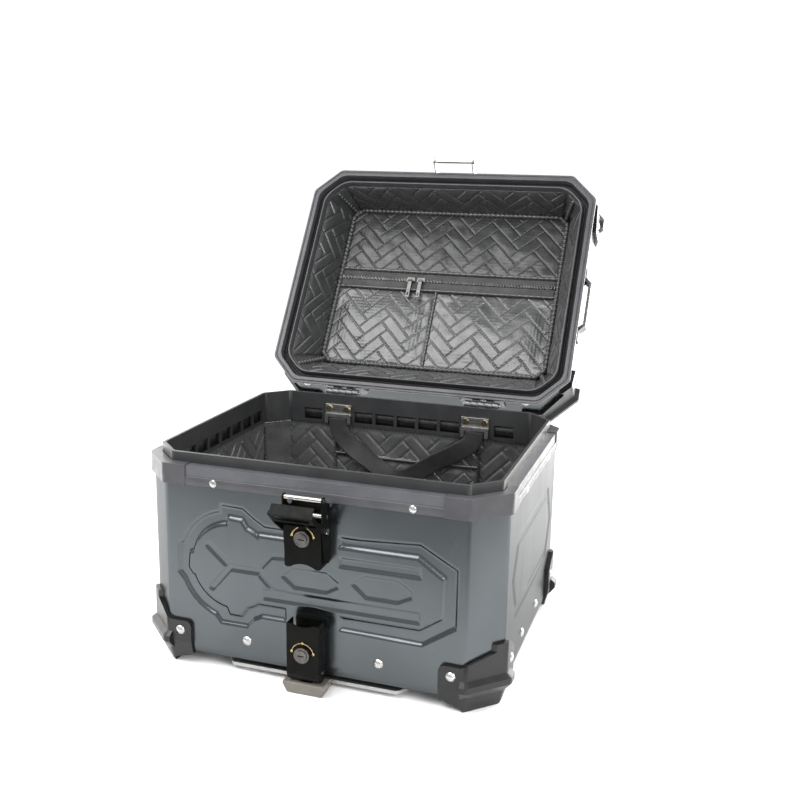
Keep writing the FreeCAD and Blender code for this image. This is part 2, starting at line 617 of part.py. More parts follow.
def make_upper_latch():
    add("upper_latch_base", upper_latch_base())
    add("upper_cross_rod", rod(-23.4, 23.4, ROD_Y, ROD_Z, ROD_R))
    add("upper_lever_pin", rod(-23.2, 23.2, UP_LEVER_Y, UP_LEVER_Z, LEVER_PIN_R))
    studs = []
    for s in (-1, 1):
        stud = rod(21.7, 26.0, CLAW_Y, CLAW_Z, CLAW_STUD_R).fuse(rod(25.4, 26.8, CLAW_Y, CLAW_Z, 3.4))
        studs.append(stud if s > 0 else mirror_x(stud))
    add("claw_studs", Part.makeCompound(studs))
    add("upper_latch_lever", upper_lever())
    add("upper_key_barrel", key_barrel(LATCH_FRONT_Y, UP_KEY_Z))
    add("upper_key_plug", key_plug(LATCH_FRONT_Y, UP_KEY_Z, -185.5))
    add("upper_latch_claw", turned(claw_closed(), V(0, CLAW_Y, CLAW_Z), V(1, 0, 0), CLAW_OPEN_DEG))


# ---- lower latch, foot block and quick-release plate ----
LOW_LEVER_Y, LOW_LEVER_Z = -186.0, 27.0
HOOK_Y, HOOK_Z = -181.0, 39.0
LOW_FRONT_Y = -197.0
LOW_KEY_Z = 51.0
CATCH_Y, CATCH_Z = -176.5, 11.0
LOW_PIN_R, HOOK_PIN_R, CATCH_R = 2.2, 1.6, 2.2


def lower_latch_base():
    back = box(-17.1, 17.1, -WALL_Y - 2, -WALL_Y, 28, 84)
    cheek = prism([(-WALL_Y, 24), (-190, 22), (-191, 34), (-180, 70), (-WALL_Y, 74)], [0, 3, 3, 3, 0],
                  on_x(15.6), V(1.5, 0, 0))
    base = fuse([back, cheek, mirror_x(cheek)])
    return base.cut(rod(-30, 30, LOW_LEVER_Y, LOW_LEVER_Z, LOW_PIN_R + SNUG))


def lower_lever():
    half, skin, nose_r, top, back = 19.0, COVER_SKIN, 11.0, 86.0, -180.5
    front = LOW_FRONT_Y
    side = [(front, LOW_LEVER_Z), (front, top), (back, top), (back, LOW_LEVER_Z)]
    nose = rod(-half, half, LOW_LEVER_Y, LOW_LEVER_Z, nose_r)
    nose = nose.common(box(-half, half, -200, back, 0, LOW_LEVER_Z))
    body = fuse([prism(side, 0, on_x(-half), V(2 * half, 0, 0)), nose])
    hollow = fuse([box(-half + skin, half - skin, front + skin, -170, LOW_LEVER_Z, 90),
                   rod(-half + skin, half - skin, LOW_LEVER_Y, LOW_LEVER_Z, nose_r - skin)])
    body = body.cut(hollow).cut(box(-half + skin, half - skin, -183.0, -170, 0, 40))
    body = body.cut(box(-8.5, 8.5, -193.2, -180, 0, 21))
    notch_half = 12.0
    centre = top + math.sqrt(NOTCH_ARCH_R ** 2 - notch_half ** 2)
    ears = []
    for s in (-1, 1):
        # ears inside the cover that carry the hook pin
        ears.append(box(s * 11.5 - 0.75, s * 11.5 + 0.75, front + skin, -177.8, 34, 43.5))
    body = fuse([body] + ears)
    return cut(body, [post(0, front - 1, front + skin + 1, centre, NOTCH_ARCH_R),
                      rod(-30, 30, LOW_LEVER_Y, LOW_LEVER_Z, LOW_PIN_R + RUN),
                      rod(-14, 14, HOOK_Y, HOOK_Z, HOOK_PIN_R + SNUG),
                      post(0, front - 6, front + 9, LOW_KEY_Z, BARREL_R)])


def lower_hook():
    """Flat hook that hangs from the lever and reaches under the catch pin."""
    profile = [(HOOK_Y - 3.2, HOOK_Z + 3.6), (HOOK_Y - 3.2, HOOK_Z - 4), (HOOK_Y - 1.8, HOOK_Z - 8),
               (HOOK_Y - 1.8, 5.0), (-174.6, 5.0), (-174.6, 7.6), (HOOK_Y + 1.8, 7.6),
               (HOOK_Y + 1.8, HOOK_Z - 8), (HOOK_Y + 3.2, HOOK_Z - 4), (HOOK_Y + 3.2, HOOK_Z + 3.6)]
    hook = prism(profile, [3, 2, 2, 1.5, 0.6, 0.6, 0.6, 2, 2, 3], on_x(-7), V(14, 0, 0))
    return hook.cut(rod(-8, 8, HOOK_Y, HOOK_Z, HOOK_PIN_R + RUN))


def foot_block():
    profile = [(-197, 15.2), (-193, 0), (-152, 0), (-152, 6.4), (-170, 6.4), (-170, 12.4), (-177, 15.2)]
    block = prism(profile, [1.5, 3, 3, 0, 0, 0, 0], on_x(-24), V(48, 0, 0))
    taper = 4.0
    for s in (-1, 1):
        slope = prism([(s * 24, 12.0), (s * 26, 12.0), (s * 26, -1), (s * (24 - taper), -1)], 0,
                      on_y(-200), V(0, 60, 0))
        block = block.cut(slope)
    pocket = box(-9, 9, -191.4, -169.0, 3.0, 20)
    return cut(block, [pocket, rod(-30, 30, CATCH_Y, CATCH_Z, CATCH_R + SNUG), rod(19, 30, -164, 5, 3.2)])


def plate_outline():
    return [(-100, -168), (100, -168), (112, -150), (112, 140), (92, 158), (-92, 158), (-112, 140),
            (-112, -150)]


SLOT_X, SLOT_Y, SLOT_LENGTH, SLOT_R = 120.0, 150.0, 34.0, 3.3
PLATE_Z0, PLATE_Z1 = 6.5, 10.6


def release_plate():
    """Quick-release plate with four slotted bolt holes."""
    sheet = prism(plate_outline(), 6, on_z(PLATE_Z0), V(0, 0, PLATE_Z1 - PLATE_Z0))
    tools = []
    for sx in (-1, 1):
        for sy in (-1, 1):
            x, y = sx * SLOT_X / 2, sy * SLOT_Y / 2
            half = SLOT_LENGTH / 2
            tools.append(prism([(x - half, y - SLOT_R), (x + half, y - SLOT_R), (x + half, y + SLOT_R),
                                (x - half, y + SLOT_R)], SLOT_R - 0.001, on_z(0), V(0, 0, 20)))
    return cut(sheet, tools)


def plate_keeper(x):
    """Clip on the case floor that holds the plate's rear edge."""
    riser = box(x - 14, x + 14, 158.4, 161.0, 3.8, FLOOR_Z)
    tongue = box(x - 14, x + 14, 148.0, 161.0, 3.8, 6.2)
    pad = box(x - 14, x + 14, 148.0, 161.0, 11.0, FLOOR_Z)
    return fuse([riser, tongue, pad])


def make_lower_latch():
    add("lower_latch_base", lower_latch_base())
    pins = [rod(x, x + 5.4, LOW_LEVER_Y, LOW_LEVER_Z, LOW_PIN_R) for x in (-20.4, 15.0)]
    add("lower_lever_pins", Part.makeCompound(pins))
    add("lower_latch_lever", lower_lever())
    add("lower_key_barrel", key_barrel(LOW_FRONT_Y, LOW_KEY_Z))
    add("lower_key_plug", key_plug(LOW_FRONT_Y, LOW_KEY_Z, -187.5))
    add("lower_hook", lower_hook())
    add("lower_hook_pin", rod(-12.4, 12.4, HOOK_Y, HOOK_Z, HOOK_PIN_R))
    add("foot_block", foot_block())
    add("catch_pin", rod(-18, 18, CATCH_Y, CATCH_Z, CATCH_R))
    add("release_plate", release_plate())
    pads = [Part.makeCylinder(9, FLOOR_Z - PLATE_Z1, V(x, y, PLATE_Z1))
            for x in (-88, 88) for y in (-130, 118)]
    add("plate_pads", Part.makeCompound(pads))
    add("plate_keepers", Part.makeCompound([plate_keeper(x) for x in (-60, 60)]))


# ---- case lining, strap and its brackets ----
def case_lining():
    return stack([(12.5, 17.5), (8.0, 19), (3.5, 29), (2.5, 36), (2.5, 212.0)]).cut(
        stack([(20, 16.5), (13.5, 19), (8.6, 30), (8.0, 37), (8.0, 213.0)]))


STRAP_Y = 154.5
STRAP_WIDTH, STRAP_THICK = 25.0, 2.4
STRAP_END_Z = 223.2        # just under the loops' bars
STRAP_ROUTE = [(-STRAP_X, STRAP_END_Z), (-98, 209.5), (-88, 195.5), (-70, 182), (-50, 169.5), (-30, 157.5),
               (-10, 147.5), (9, 150.5), (28, 164), (49, 178), (70, 189.5), (89, 200.5), (97.5, 211),
               (STRAP_X, STRAP_END_Z)]


def strap_plate(x):
    sheet = box(x - 19, x + 19, 156.4, 159.7, 226, 242)
    return cut(sheet, [post(x + s * 13, 150, 165, 236, 2.0) for s in (-1, 1)])


def strap_loop(x):
    """Steel bar with two legs; the strap is sewn round the bar between the legs."""
    outer, inner, low, high = 19.0, 14.0, 215.0, 229.0
    points = [(x - outer, low), (x - inner, low), (x - inner, high - 5), (x + inner, high - 5),
              (x + inner, low), (x + outer, low), (x + outer, high), (x - outer, high)]
    return prism(points, [2.4, 2.4, 0, 0, 2.4, 2.4, 2.4, 2.4], on_y(153.2), V(0, 3.0, 0))


def strap_screws():
    screws = []
    for x in (-STRAP_X, STRAP_X):
        for s in (-1, 1):
            head = post(x + s * 13, 154.2, 156.4, 236, 4.2)
            screws.append(head.fuse(post(x + s * 13, 154.4, 159.6, 236, 1.96)))
    return Part.makeCompound(screws)


def flat_band(route, width, y0, thick):
    """Flat band whose face lies in an XZ plane: straight runs joined by tangent arcs."""
    points = [V(x, 0, z) for x, z in route]
    radii = []
    pieces = []
    last = points[0]
    for i in range(1, len(points)):
        corner = points[i]
        if i < len(points) - 1:
            back = points[i - 1] - corner
            ahead = points[i + 1] - corner
            turn = math.pi - back.getAngle(ahead)
            trim = 0.45 * min(back.Length, ahead.Length)
            radius = trim / math.tan(turn / 2)
            radii.append(round(radius, 1))
            start = corner + back.normalize() * trim
            end = corner + ahead.normalize() * trim
            centre = corner + (back + ahead).normalize() * (radius / math.cos(turn / 2))
            middle = centre + (corner - centre).normalize() * radius
            pieces.append(sector(centre, start, middle, end, width, radius, y0, thick))
        else:
            start = corner
        along = (start - last).normalize()
        side = V(-along.z, 0, along.x) * (width / 2)
        corners = [last + side, start + side, start - side, last - side]
        run = Part.makePolygon([V(p.x, y0, p.z) for p in corners + corners[:1]])
        pieces.append(Part.Face(run).extrude(V(0, thick, 0)))
        if i < len(points) - 1:
            last = end
    print("strap bend radii", radii)
    return fuse(pieces)


def sector(centre, start, middle, end, width, radius, y0, thick):
    """Piece of a flat ring between two radii, from start to end about centre."""
    def at(point, r):
        ray = (point - centre).normalize() * r
        return V(centre.x + ray.x, y0, centre.z + ray.z)
    big, small = radius + width / 2, radius - width / 2
    edges = [Part.Arc(at(start, big), at(middle, big), at(end, big)).toShape(),
             Part.LineSegment(at(end, big), at(end, small)).toShape(),
             Part.Arc(at(end, small), at(middle, small), at(start, small)).toShape(),
             Part.LineSegment(at(start, small), at(start, big)).toShape()]
    return Part.Face(Part.Wire(edges)).extrude(V(0, thick, 0))


def make_inside():
    add("case_lining", case_lining())
    add("floor_mat", plate(21.0, 15.8, 21.0))
    add("rear_pocket", box(-103, 103, 160.6, 164.4, 40, 173))
    add("strap_plates", Part.makeCompound([strap_plate(s * STRAP_X) for s in (-1, 1)]))
    add("strap_loops", Part.makeCompound([strap_loop(s * STRAP_X) for s in (-1, 1)]))
    add("strap_screws", strap_screws())
    add("cargo_strap", flat_band(STRAP_ROUTE, STRAP_WIDTH, STRAP_Y - STRAP_THICK / 2, STRAP_THICK))


make_case()
make_lid()
make_hinges()
make_upper_latch()
make_lower_latch()
make_inside()

os.makedirs("parts", exist_ok=True)
for name, shape in parts.items():
    if not shape.isValid():
        print("not valid:", name)
    shape.exportStep("parts/" + name + ".step")
print(len(parts), "parts written")
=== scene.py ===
"""Looks of an aluminium motorcycle top case with its lid open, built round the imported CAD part.

Positions come from the frame: heights are millimetres above the feet, as in the CAD source, and
become metres by feet(); the lid's pieces are drawn closed and turned open by opened().
"""
import json
import math

import bpy
import numpy as np
from mathutils import Matrix, Quaternion, Vector


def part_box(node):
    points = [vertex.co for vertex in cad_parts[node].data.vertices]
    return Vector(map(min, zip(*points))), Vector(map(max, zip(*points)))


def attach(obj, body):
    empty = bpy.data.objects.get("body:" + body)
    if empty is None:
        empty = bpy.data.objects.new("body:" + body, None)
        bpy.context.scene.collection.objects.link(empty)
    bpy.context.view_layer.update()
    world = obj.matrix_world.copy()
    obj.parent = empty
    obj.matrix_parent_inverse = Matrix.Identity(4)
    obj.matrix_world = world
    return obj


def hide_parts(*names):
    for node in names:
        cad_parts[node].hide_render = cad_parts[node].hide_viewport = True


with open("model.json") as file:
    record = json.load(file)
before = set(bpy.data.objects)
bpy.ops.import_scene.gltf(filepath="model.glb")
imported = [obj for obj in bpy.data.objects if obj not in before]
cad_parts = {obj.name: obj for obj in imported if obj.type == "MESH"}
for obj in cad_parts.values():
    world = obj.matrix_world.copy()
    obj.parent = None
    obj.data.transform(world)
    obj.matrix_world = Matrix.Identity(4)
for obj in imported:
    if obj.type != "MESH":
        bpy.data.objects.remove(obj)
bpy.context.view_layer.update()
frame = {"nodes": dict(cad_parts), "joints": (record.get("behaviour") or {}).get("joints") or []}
NODES = frame["nodes"]
MM = 0.001

# ---- driving sizes, millimetres ----
WALL_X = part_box("case_wall")[1].x / MM      # half width of the sheet
WALL_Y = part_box("case_wall")[1].y / MM      # half depth of the sheet
FEET_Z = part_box("foot_block")[0].z / MM     # the surface the case stands on
CHAMFER = 34.7                              # leg of the vertical corner chamfer
BEND_RADIUS = 7.0
LINING_Z = 309.0                            # face of the lid's upper panel, closed
PANEL_X, PANEL_Y0, PANEL_Y1, PANEL_LEG = 168.0, -144.0, 113.0, 12.0
ZIP_Y = -27.0
ZIP_HALF = 15.0                             # half width of the band between panel and pockets
POCKET_SPLIT_X = -12.0
LATCH_FRONT_Y, LOW_FRONT_Y = -195.0, -197.0
UPPER_KEY_Z, LOWER_KEY_Z = 185.0, 51.0
SIDES, ENDS = (("left", -1), ("right", 1)), (("front", -1), ("rear", 1))
CORNERS = [(f"{end}_{side}", s, e) for end, e in ENDS for side, s in SIDES]

LID_JOINT = next(j for j in frame["joints"] if j["name"] == "lid_hinge")
HINGE = Vector(LID_JOINT["pos_m"])
LID_OPEN = math.radians(LID_JOINT["range_deg"][1])


def feet(points):
    """Millimetres with heights above the feet, to metres in the row frame."""
    points = np.array(points, float).reshape(-1, 3)
    return (points + (0, 0, FEET_Z)) * MM


def opened(points):
    """Turns metre points of the closed lid into the open rest pose."""
    turn = np.array(Matrix.Rotation(-LID_OPEN, 3, "X"))
    return (np.array(points) - np.array(HINGE)) @ turn.T + np.array(HINGE)


def lid_feet(points):
    """Millimetres on the closed lid, with heights above the feet, to metres on the open one."""
    return opened(feet(points))


def in_place(points, body):
    return lid_feet(points) if body == "lid" else feet(points)


# ---- materials ----
def add_node(tree, kind, inputs, **settings):
    """A new shader node; each input is a constant or another node's output."""
    made = tree.nodes.new("ShaderNode" + kind)
    for key, value in settings.items():
        setattr(made, key, value)
    for key, value in inputs.items():
        if isinstance(value, bpy.types.NodeSocket):
            tree.links.new(value, made.inputs[key])
        else:
            made.inputs[key].default_value = value
    return made


class Finish:
    """One procedural material: a Principled shader and the nodes that feed it."""

    def __init__(self, name, **values):
        self.material = bpy.data.materials.new(name)
        self.material.use_nodes = True
        self.tree = self.material.node_tree
        self.links = self.tree.links
        self.shader = next(n for n in self.tree.nodes if n.type == "BSDF_PRINCIPLED")
        for key, value in values.items():
            self.shader.inputs[key.replace("_", " ")].default_value = value
        self.place = self.node("TexCoord", {}).outputs["Object"]
        self.normal = None

    def node(self, kind, inputs, **settings):
        return add_node(self.tree, kind, inputs, **settings)

    def stretched(self, scale, turn=(0, 0, 0)):
        return self.node("Mapping", {"Vector": self.place, "Scale": scale, "Rotation": turn}).outputs[0]

    def noise(self, scale, detail, stretch=(1, 1, 1)):
        return self.node("TexNoise", {"Vector": self.stretched(stretch), "Scale": scale, "Detail": detail,
                                      "Roughness": 0.55}).outputs["Fac"]

    def cells(self, scale):
        return self.node("TexVoronoi", {"Vector": self.place, "Scale": scale}).outputs["Distance"]

    def waves(self, scale, turn, distortion):
        return self.node("TexWave", {"Vector": self.stretched((1, 1, 1), turn), "Scale": scale,
                                     "Distortion": distortion}).outputs["Fac"]

    def between(self, factor, low, high, start=0.3, stop=0.7):
        """Low where the factor is at start, high where it is at stop."""
        return self.node("MapRange", {"Value": factor, "From Min": start, "From Max": stop,
                                      "To Min": low, "To Max": high}).outputs[0]

    def math(self, operation, a, b):
        return self.node("Math", {0: a, 1: b}, operation=operation).outputs[0]

    def tones(self, factor, first, second, *span):
        """A colour that wanders between two tones; each is a colour or another node's output."""
        first, second = (tone if isinstance(tone, bpy.types.NodeSocket) else (*tone, 1)
                         for tone in (first, second))
        share = self.between(factor, 0.0, 1.0, *span)
        return self.node("Mix", {0: share, 6: first, 7: second}, data_type="RGBA").outputs[2]

    def colour(self, factor, first, second, *span):
        self.links.new(self.tones(factor, first, second, *span), self.shader.inputs["Base Color"])

    def outside(self, inset):
        """Metres outside the case's plan outline moved inwards by inset millimetres."""
        axes = self.node("SeparateXYZ", {"Vector": self.place}).outputs
        x, y = self.math("ABSOLUTE", axes["X"], 0), self.math("ABSOLUTE", axes["Y"], 0)
        across = self.math("SUBTRACT", x, (WALL_X - inset) * MM)
        deep = self.math("SUBTRACT", y, (WALL_Y - inset) * MM)
        reach = (WALL_X + WALL_Y - CHAMFER - inset * math.sqrt(2)) * MM
        corner = self.math("SUBTRACT", self.math("ADD", x, y), reach)
        return self.math("MAXIMUM", self.math("MAXIMUM", across, deep), corner)

    def rough(self, factor, low, high):
        self.links.new(self.between(factor, low, high), self.shader.inputs["Roughness"])

    def bump(self, height, depth_mm, strength=1.0):
        """Adds a bump over the ones so far."""
        made = self.node("Bump", {"Height": height, "Strength": strength, "Distance": depth_mm * MM})
        if self.normal is not None:
            self.links.new(self.normal, made.inputs["Normal"])
        self.normal = made.outputs[0]
        self.links.new(self.normal, self.shader.inputs["Normal"])
        return self


def coated(name, first, second, low, high, tone, gloss, *bumps, **values):
    """A finish whose colour, roughness and bumps follow noises, each given as (scale, detail, stretch)."""
    f = Finish(name, **values)
    f.colour(f.noise(*tone), first, second)
    f.rough(f.noise(*gloss), low, high)
    for noise, *depth in bumps:
        f.bump(f.noise(*noise), *depth)
    return f


def painted_metal(name, *look):
    """Satin anodised sheet: fine vertical brushing under a thin clear layer."""
    return coated(name, *look, (9, 4), (26, 5, (1, 1, 0.25)), ((420, 3, (1, 1, 0.03)), 0.012),
                  ((14, 2), 0.12, 0.5), Metallic=0.94, Specular_Tint=(0.5, 0.5, 0.5, 1), Coat_Weight=0.08,
                  Coat_Roughness=0.2)


def moulded(name, *look):
    """Moulded plastic with a fine eroded grain and slight gloss changes."""
    return coated(name, *look, (35, 5), (60, 5), ((1500, 4), 0.03), ((40, 3), 0.08, 0.5), IOR=1.5,
                  Specular_IOR_Level=0.38)


def rim_plastic(name):
    """The case rim's plastic: grey outside, with painted shade on the inner lip, which is coloured near black
    where shade falls.
    """
    f = Finish(name, IOR=1.5)
    outside_grey = f.tones(f.noise(35, 5), (0.067, 0.070, 0.078), (0.086, 0.089, 0.098))
    # painted shade: the near-black tone inside the lip stands in for the shade there
    lip_painted_shade = f.tones(f.noise(35, 5), (0.020, 0.0205, 0.0215), (0.029, 0.0295, 0.0305))
    f.colour(f.outside(8.4), lip_painted_shade, outside_grey, -0.0004, 0.0004)
    f.rough(f.noise(60, 5), 0.32, 0.44)
    f.bump(f.noise(1500, 4), 0.03)
    return f.bump(f.noise(40, 3), 0.08, 0.5)


def bare_metal(name, first, second, low, high, brushed=(1, 1, 1)):
    """Turned or plated metal with hairline marks."""
    return coated(name, first, second, low, high, (120, 4), (300, 4, brushed), ((900, 3, brushed), 0.01),
                  Metallic=1.0)


def leather(name, first=(0.024, 0.025, 0.025), second=(0.041, 0.042, 0.041), gloss=0.75):
    """Black coated leather: pores, soft creases and a satin sheen."""
    f = Finish(name, IOR=1.5, Specular_IOR_Level=gloss, Sheen_Weight=0.05, Sheen_Roughness=0.5)
    f.colour(f.noise(45, 5), first, second)
    f.rough(f.noise(70, 6), 0.24, 0.33)
    f.bump(f.cells(800), 0.07, 0.6)
    f.bump(f.noise(260, 5), 0.10, 0.6)
    return f.bump(f.noise(38, 3), 0.35, 0.5)


def webbing(name):
    """Black nylon webbing woven in a fine twill."""
    f = Finish(name, Roughness=0.58, Specular_IOR_Level=0.4, Sheen_Weight=0.08, Sheen_Roughness=0.45)
    f.colour(f.noise(90, 4), (0.007, 0.007, 0.007), (0.015, 0.015, 0.0145))
    across = f.waves(210, (0, math.radians(45), 0), 0.4)
    along = f.waves(210, (0, math.radians(-45), 0), 0.4)
    f.bump(f.math("MULTIPLY", across, along), 0.28)
    return f.bump(f.noise(700, 3), 0.06)


def tape(name):
    """Zipper tape: matt ribbed fabric."""
    f = Finish(name, Roughness=0.7, Sheen_Weight=0.2, Sheen_Roughness=0.4)
    f.colour(f.noise(60, 5), (0.026, 0.027, 0.026), (0.055, 0.056, 0.054))
    f.bump(f.waves(330, (0, 0, math.radians(90)), 0.2), 0.14)
    return f.bump(f.noise(900, 4), 0.10)


def black_paint(name):
    """Satin black powder coat, slightly uneven in tone and gloss."""
    return coated(name, (0.0018, 0.0019, 0.0016), (0.0038, 0.0039, 0.0034), 0.30, 0.44, (70, 5), (150, 5),
                  ((1100, 4), 0.03), ((50, 3), 0.05, 0.5), IOR=1.5, Specular_IOR_Level=0.08)


def rubber(name, first, second):
    return coated(name, first, second, 0.55, 0.75, (80, 4), (200, 4), ((1300, 4), 0.05), IOR=1.45)


ALONG_X = (0.05, 1, 1)                      # hairlines that run across the case
FINISHES = {name: make(name, *values) for name, make, *values in (
    ("wall_metal", painted_metal, (0.082, 0.091, 0.096), (0.098, 0.108, 0.113), 0.20, 0.28),
    # the sheet behind the rim's openings is coloured dim metal as painted shade
    ("inner_sheet", bare_metal, (0.050, 0.050, 0.049), (0.085, 0.085, 0.083), 0.42, 0.55),
    ("rim_plastic", moulded, (0.050, 0.050, 0.055), (0.068, 0.068, 0.074), 0.30, 0.42),
    ("case_rim_plastic", rim_plastic),
    ("guard_plastic", moulded, (0.0055, 0.006, 0.0055), (0.0105, 0.011, 0.0105), 0.28, 0.40),
    ("rivet_steel", bare_metal, (0.42, 0.42, 0.41), (0.54, 0.54, 0.53), 0.26, 0.40),
    ("hinge_metal", bare_metal, (0.13, 0.134, 0.137), (0.19, 0.195, 0.198), 0.44, 0.56, ALONG_X),
    ("latch_black", black_paint),
    ("latch_chrome", bare_metal, (0.42, 0.40, 0.38), (0.56, 0.54, 0.51), 0.20, 0.32, ALONG_X),
    ("key_metal", bare_metal, (0.07, 0.065, 0.06), (0.15, 0.142, 0.132), 0.24, 0.36),
    ("gold_mark", bare_metal, (0.45, 0.33, 0.15), (0.58, 0.44, 0.22), 0.3, 0.42),
    ("seal_rubber", rubber, (0.010, 0.010, 0.010), (0.018, 0.018, 0.018)),
    ("quilted_leather", leather),
    # the case's leather is the same leather painted lighter: painted light for the dim inside of the case
    ("case_leather_painted_light", leather, (0.046, 0.047, 0.047), (0.078, 0.079, 0.078), 0.95),
    # the upper panel's leather is the same leather painted darker: painted shade
    ("panel_leather_painted_shade", leather, (0.014, 0.0145, 0.0145), (0.027, 0.028, 0.027), 0.42),
    ("lining_board", rubber, (0.012, 0.012, 0.012), (0.02, 0.02, 0.02)),
    ("webbing", webbing),
    ("bracket_steel", bare_metal, (0.36, 0.36, 0.35), (0.48, 0.48, 0.465), 0.30, 0.42),
    ("screw_brass", bare_metal, (0.62, 0.50, 0.30), (0.76, 0.64, 0.42), 0.16, 0.28),
    ("zipper_fabric", tape),
    ("zipper_metal", bare_metal, (0.085, 0.085, 0.083), (0.145, 0.145, 0.14), 0.26, 0.38),
    ("tooth_metal", bare_metal, (0.10, 0.10, 0.10), (0.17, 0.17, 0.165), 0.3, 0.45),
    ("plate_metal", bare_metal, (0.40, 0.40, 0.39), (0.50, 0.50, 0.49), 0.40, 0.52),
    ("foot_paint", moulded, (0.12, 0.106, 0.093), (0.155, 0.138, 0.122), 0.26, 0.36),
    ("foot_rubber", rubber, (0.014, 0.014, 0.014), (0.024, 0.024, 0.024)),
)}
OWN_FINISH = {"foot_block": "foot_paint", "strap_plates": "bracket_steel", "strap_loops": "bracket_steel",
              "case_rim": "case_rim_plastic"}


# ---- meshes ----
def placed(name, data):
    """A new object in the scene."""
    made = bpy.data.objects.new(name, data)
    bpy.context.scene.collection.objects.link(made)
    return made


def piece(name, points, faces, body, slot, replaced=(), finish=None):
    """A new mesh object in metres, riding on a body; its finish is the slot's unless another is named."""
    mesh = bpy.data.meshes.new(name)
    mesh.from_pydata([tuple(p) for p in points], [], [tuple(int(i) for i in f) for f in faces])
    mesh.update()
    mesh.shade_smooth()
    mesh.materials.append(FINISHES[finish or slot].material)
    made = placed(name, mesh)
    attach(made, body)
    if replaced:
        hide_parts(*replaced)
    return made


def octagon(half_x, half_y, leg, radius, steps, arc_steps, centre_y=0.0):
    """Plan outline with chamfered corners, anticlockwise from the front side: points, outward normals.

    steps is for the front, right, rear, left and chamfer sides.
    """
    x, y = half_x, half_y
    corners = [(x - leg, -y), (x, -y + leg), (x, y - leg), (x - leg, y),
               (-x + leg, y), (-x, y - leg), (-x, -y + leg), (-x + leg, -y)]
    front, right, rear, left, chamfer = steps
    counts = (front, chamfer, right, chamfer, rear, chamfer, left, chamfer)
    trim = radius * math.tan(math.radians(22.5))
    points, normals = [], []
    for i, count in enumerate(counts):
        start, end = np.array(corners[i - 1]), np.array(corners[i])
        along = (end - start) / np.linalg.norm(end - start)
        normal = np.array([along[1], -along[0]])
        first, last = start + along * trim, end - along * trim
        for k in range(count):
            points.append(first + (last - first) * (k / count))
            normals.append(normal)
        centre = last - normal * radius
        for k in range(arc_steps):
            angle = math.radians(45) * k / arc_steps
            ray = normal * math.cos(angle) + along * math.sin(angle)
            points.append(centre + ray * radius)
            normals.append(ray)
    return np.array(points) + (0, centre_y), np.array(normals)


def case_plan(inset, steps, arc_steps=6, bend=BEND_RADIUS):
    """The case's plan outline, moved inwards by inset."""
    leg = CHAMFER - inset * (2 - math.sqrt(2))
    return octagon(WALL_X - inset, WALL_Y - inset, leg, bend, steps, arc_steps)


def lid_rim_bend(inset):
    """Plan radius of the lid's rim: its corners grow rounder towards the inside."""
    return 11 + 1.15 * (inset + 3.6)


def band_faces(rows, columns, closed_rows=False):
    """Quads between rows of a band that closes round its columns."""
    i = np.arange(columns)
    j = (i + 1) % columns
    faces = []
    for r in range(rows if closed_rows else rows - 1):
        a, b = r * columns, ((r + 1) % rows) * columns
        faces.append(np.column_stack([a + i, a + j, b + j, b + i]))
    return np.concatenate(faces)


def at_height(plan, z):
    """Plan points (x, y) as points at a height."""
    return np.column_stack([plan, np.full(len(plan), z)])


def swept(profile, steps, arc_steps=6, bend=None):
    """Rows of the case's plan outline, one for each (inset, height): points, normals."""
    rows, normals = [], []
    for inset, z in profile:
        plan, normal = case_plan(inset, steps, arc_steps, bend(inset) if bend else BEND_RADIUS)
        rows.append(at_height(plan, z))
        normals.append(np.column_stack([normal, np.zeros(len(plan))]))
    return np.array(rows), np.array(normals)


def arc_lengths(line):
    """Distance along each row of a closed loop of points."""
    step = np.linalg.norm(np.roll(line, -1, axis=0) - line, axis=1)
    return np.concatenate([[0], np.cumsum(step)[:-1]])


def grid_faces(rows, columns):
    a = (np.arange(rows - 1)[:, None] * columns + np.arange(columns - 1)).ravel()
    return np.column_stack([a, a + 1, a + columns + 1, a + columns])


def grid_border(rows, columns):
    """Indices of a grid's border points, once round."""
    return (list(range(columns)) + [r * columns + columns - 1 for r in range(1, rows)]
            + [(rows - 1) * columns + c for c in range(columns - 2, -1, -1)]
            + [r * columns for r in range(rows - 2, 0, -1)])


def shifted(faces, by, flip=False):
    """Faces whose point numbers are moved on, and turned over if asked."""
    return [tuple(int(i) + by for i in (reversed(f) if flip else f)) for f in faces]


def slab(name, grid, back, body, replaced, finish=None):
    """Closed padded leather from grids of its front's x, y, z in millimetres and an offset to its flat back."""
    rows, columns = grid[0].shape
    points = in_place(np.stack(grid, -1), body)
    rim = grid_border(rows, columns)
    first, count = len(points), len(rim)
    skirt = [(rim[(k + 1) % count], rim[k], first + k, first + (k + 1) % count) for k in range(count)]
    faces = shifted(grid_faces(rows, columns), 0) + skirt + [tuple(range(first + count - 1, first - 1, -1))]
    points = np.concatenate([points, points[rim] + np.array(back)])
    piece(name, points, faces, body, "quilted_leather", replaced, finish)


def pipe_faces(count, sides, closed=False):
    """Faces of a pipe of count rings, with end caps unless it is closed."""
    faces = shifted(band_faces(count, sides, closed), 0)
    if not closed:
        faces += [tuple(range(sides - 1, -1, -1)), tuple((count - 1) * sides + k for k in range(sides))]
    return faces


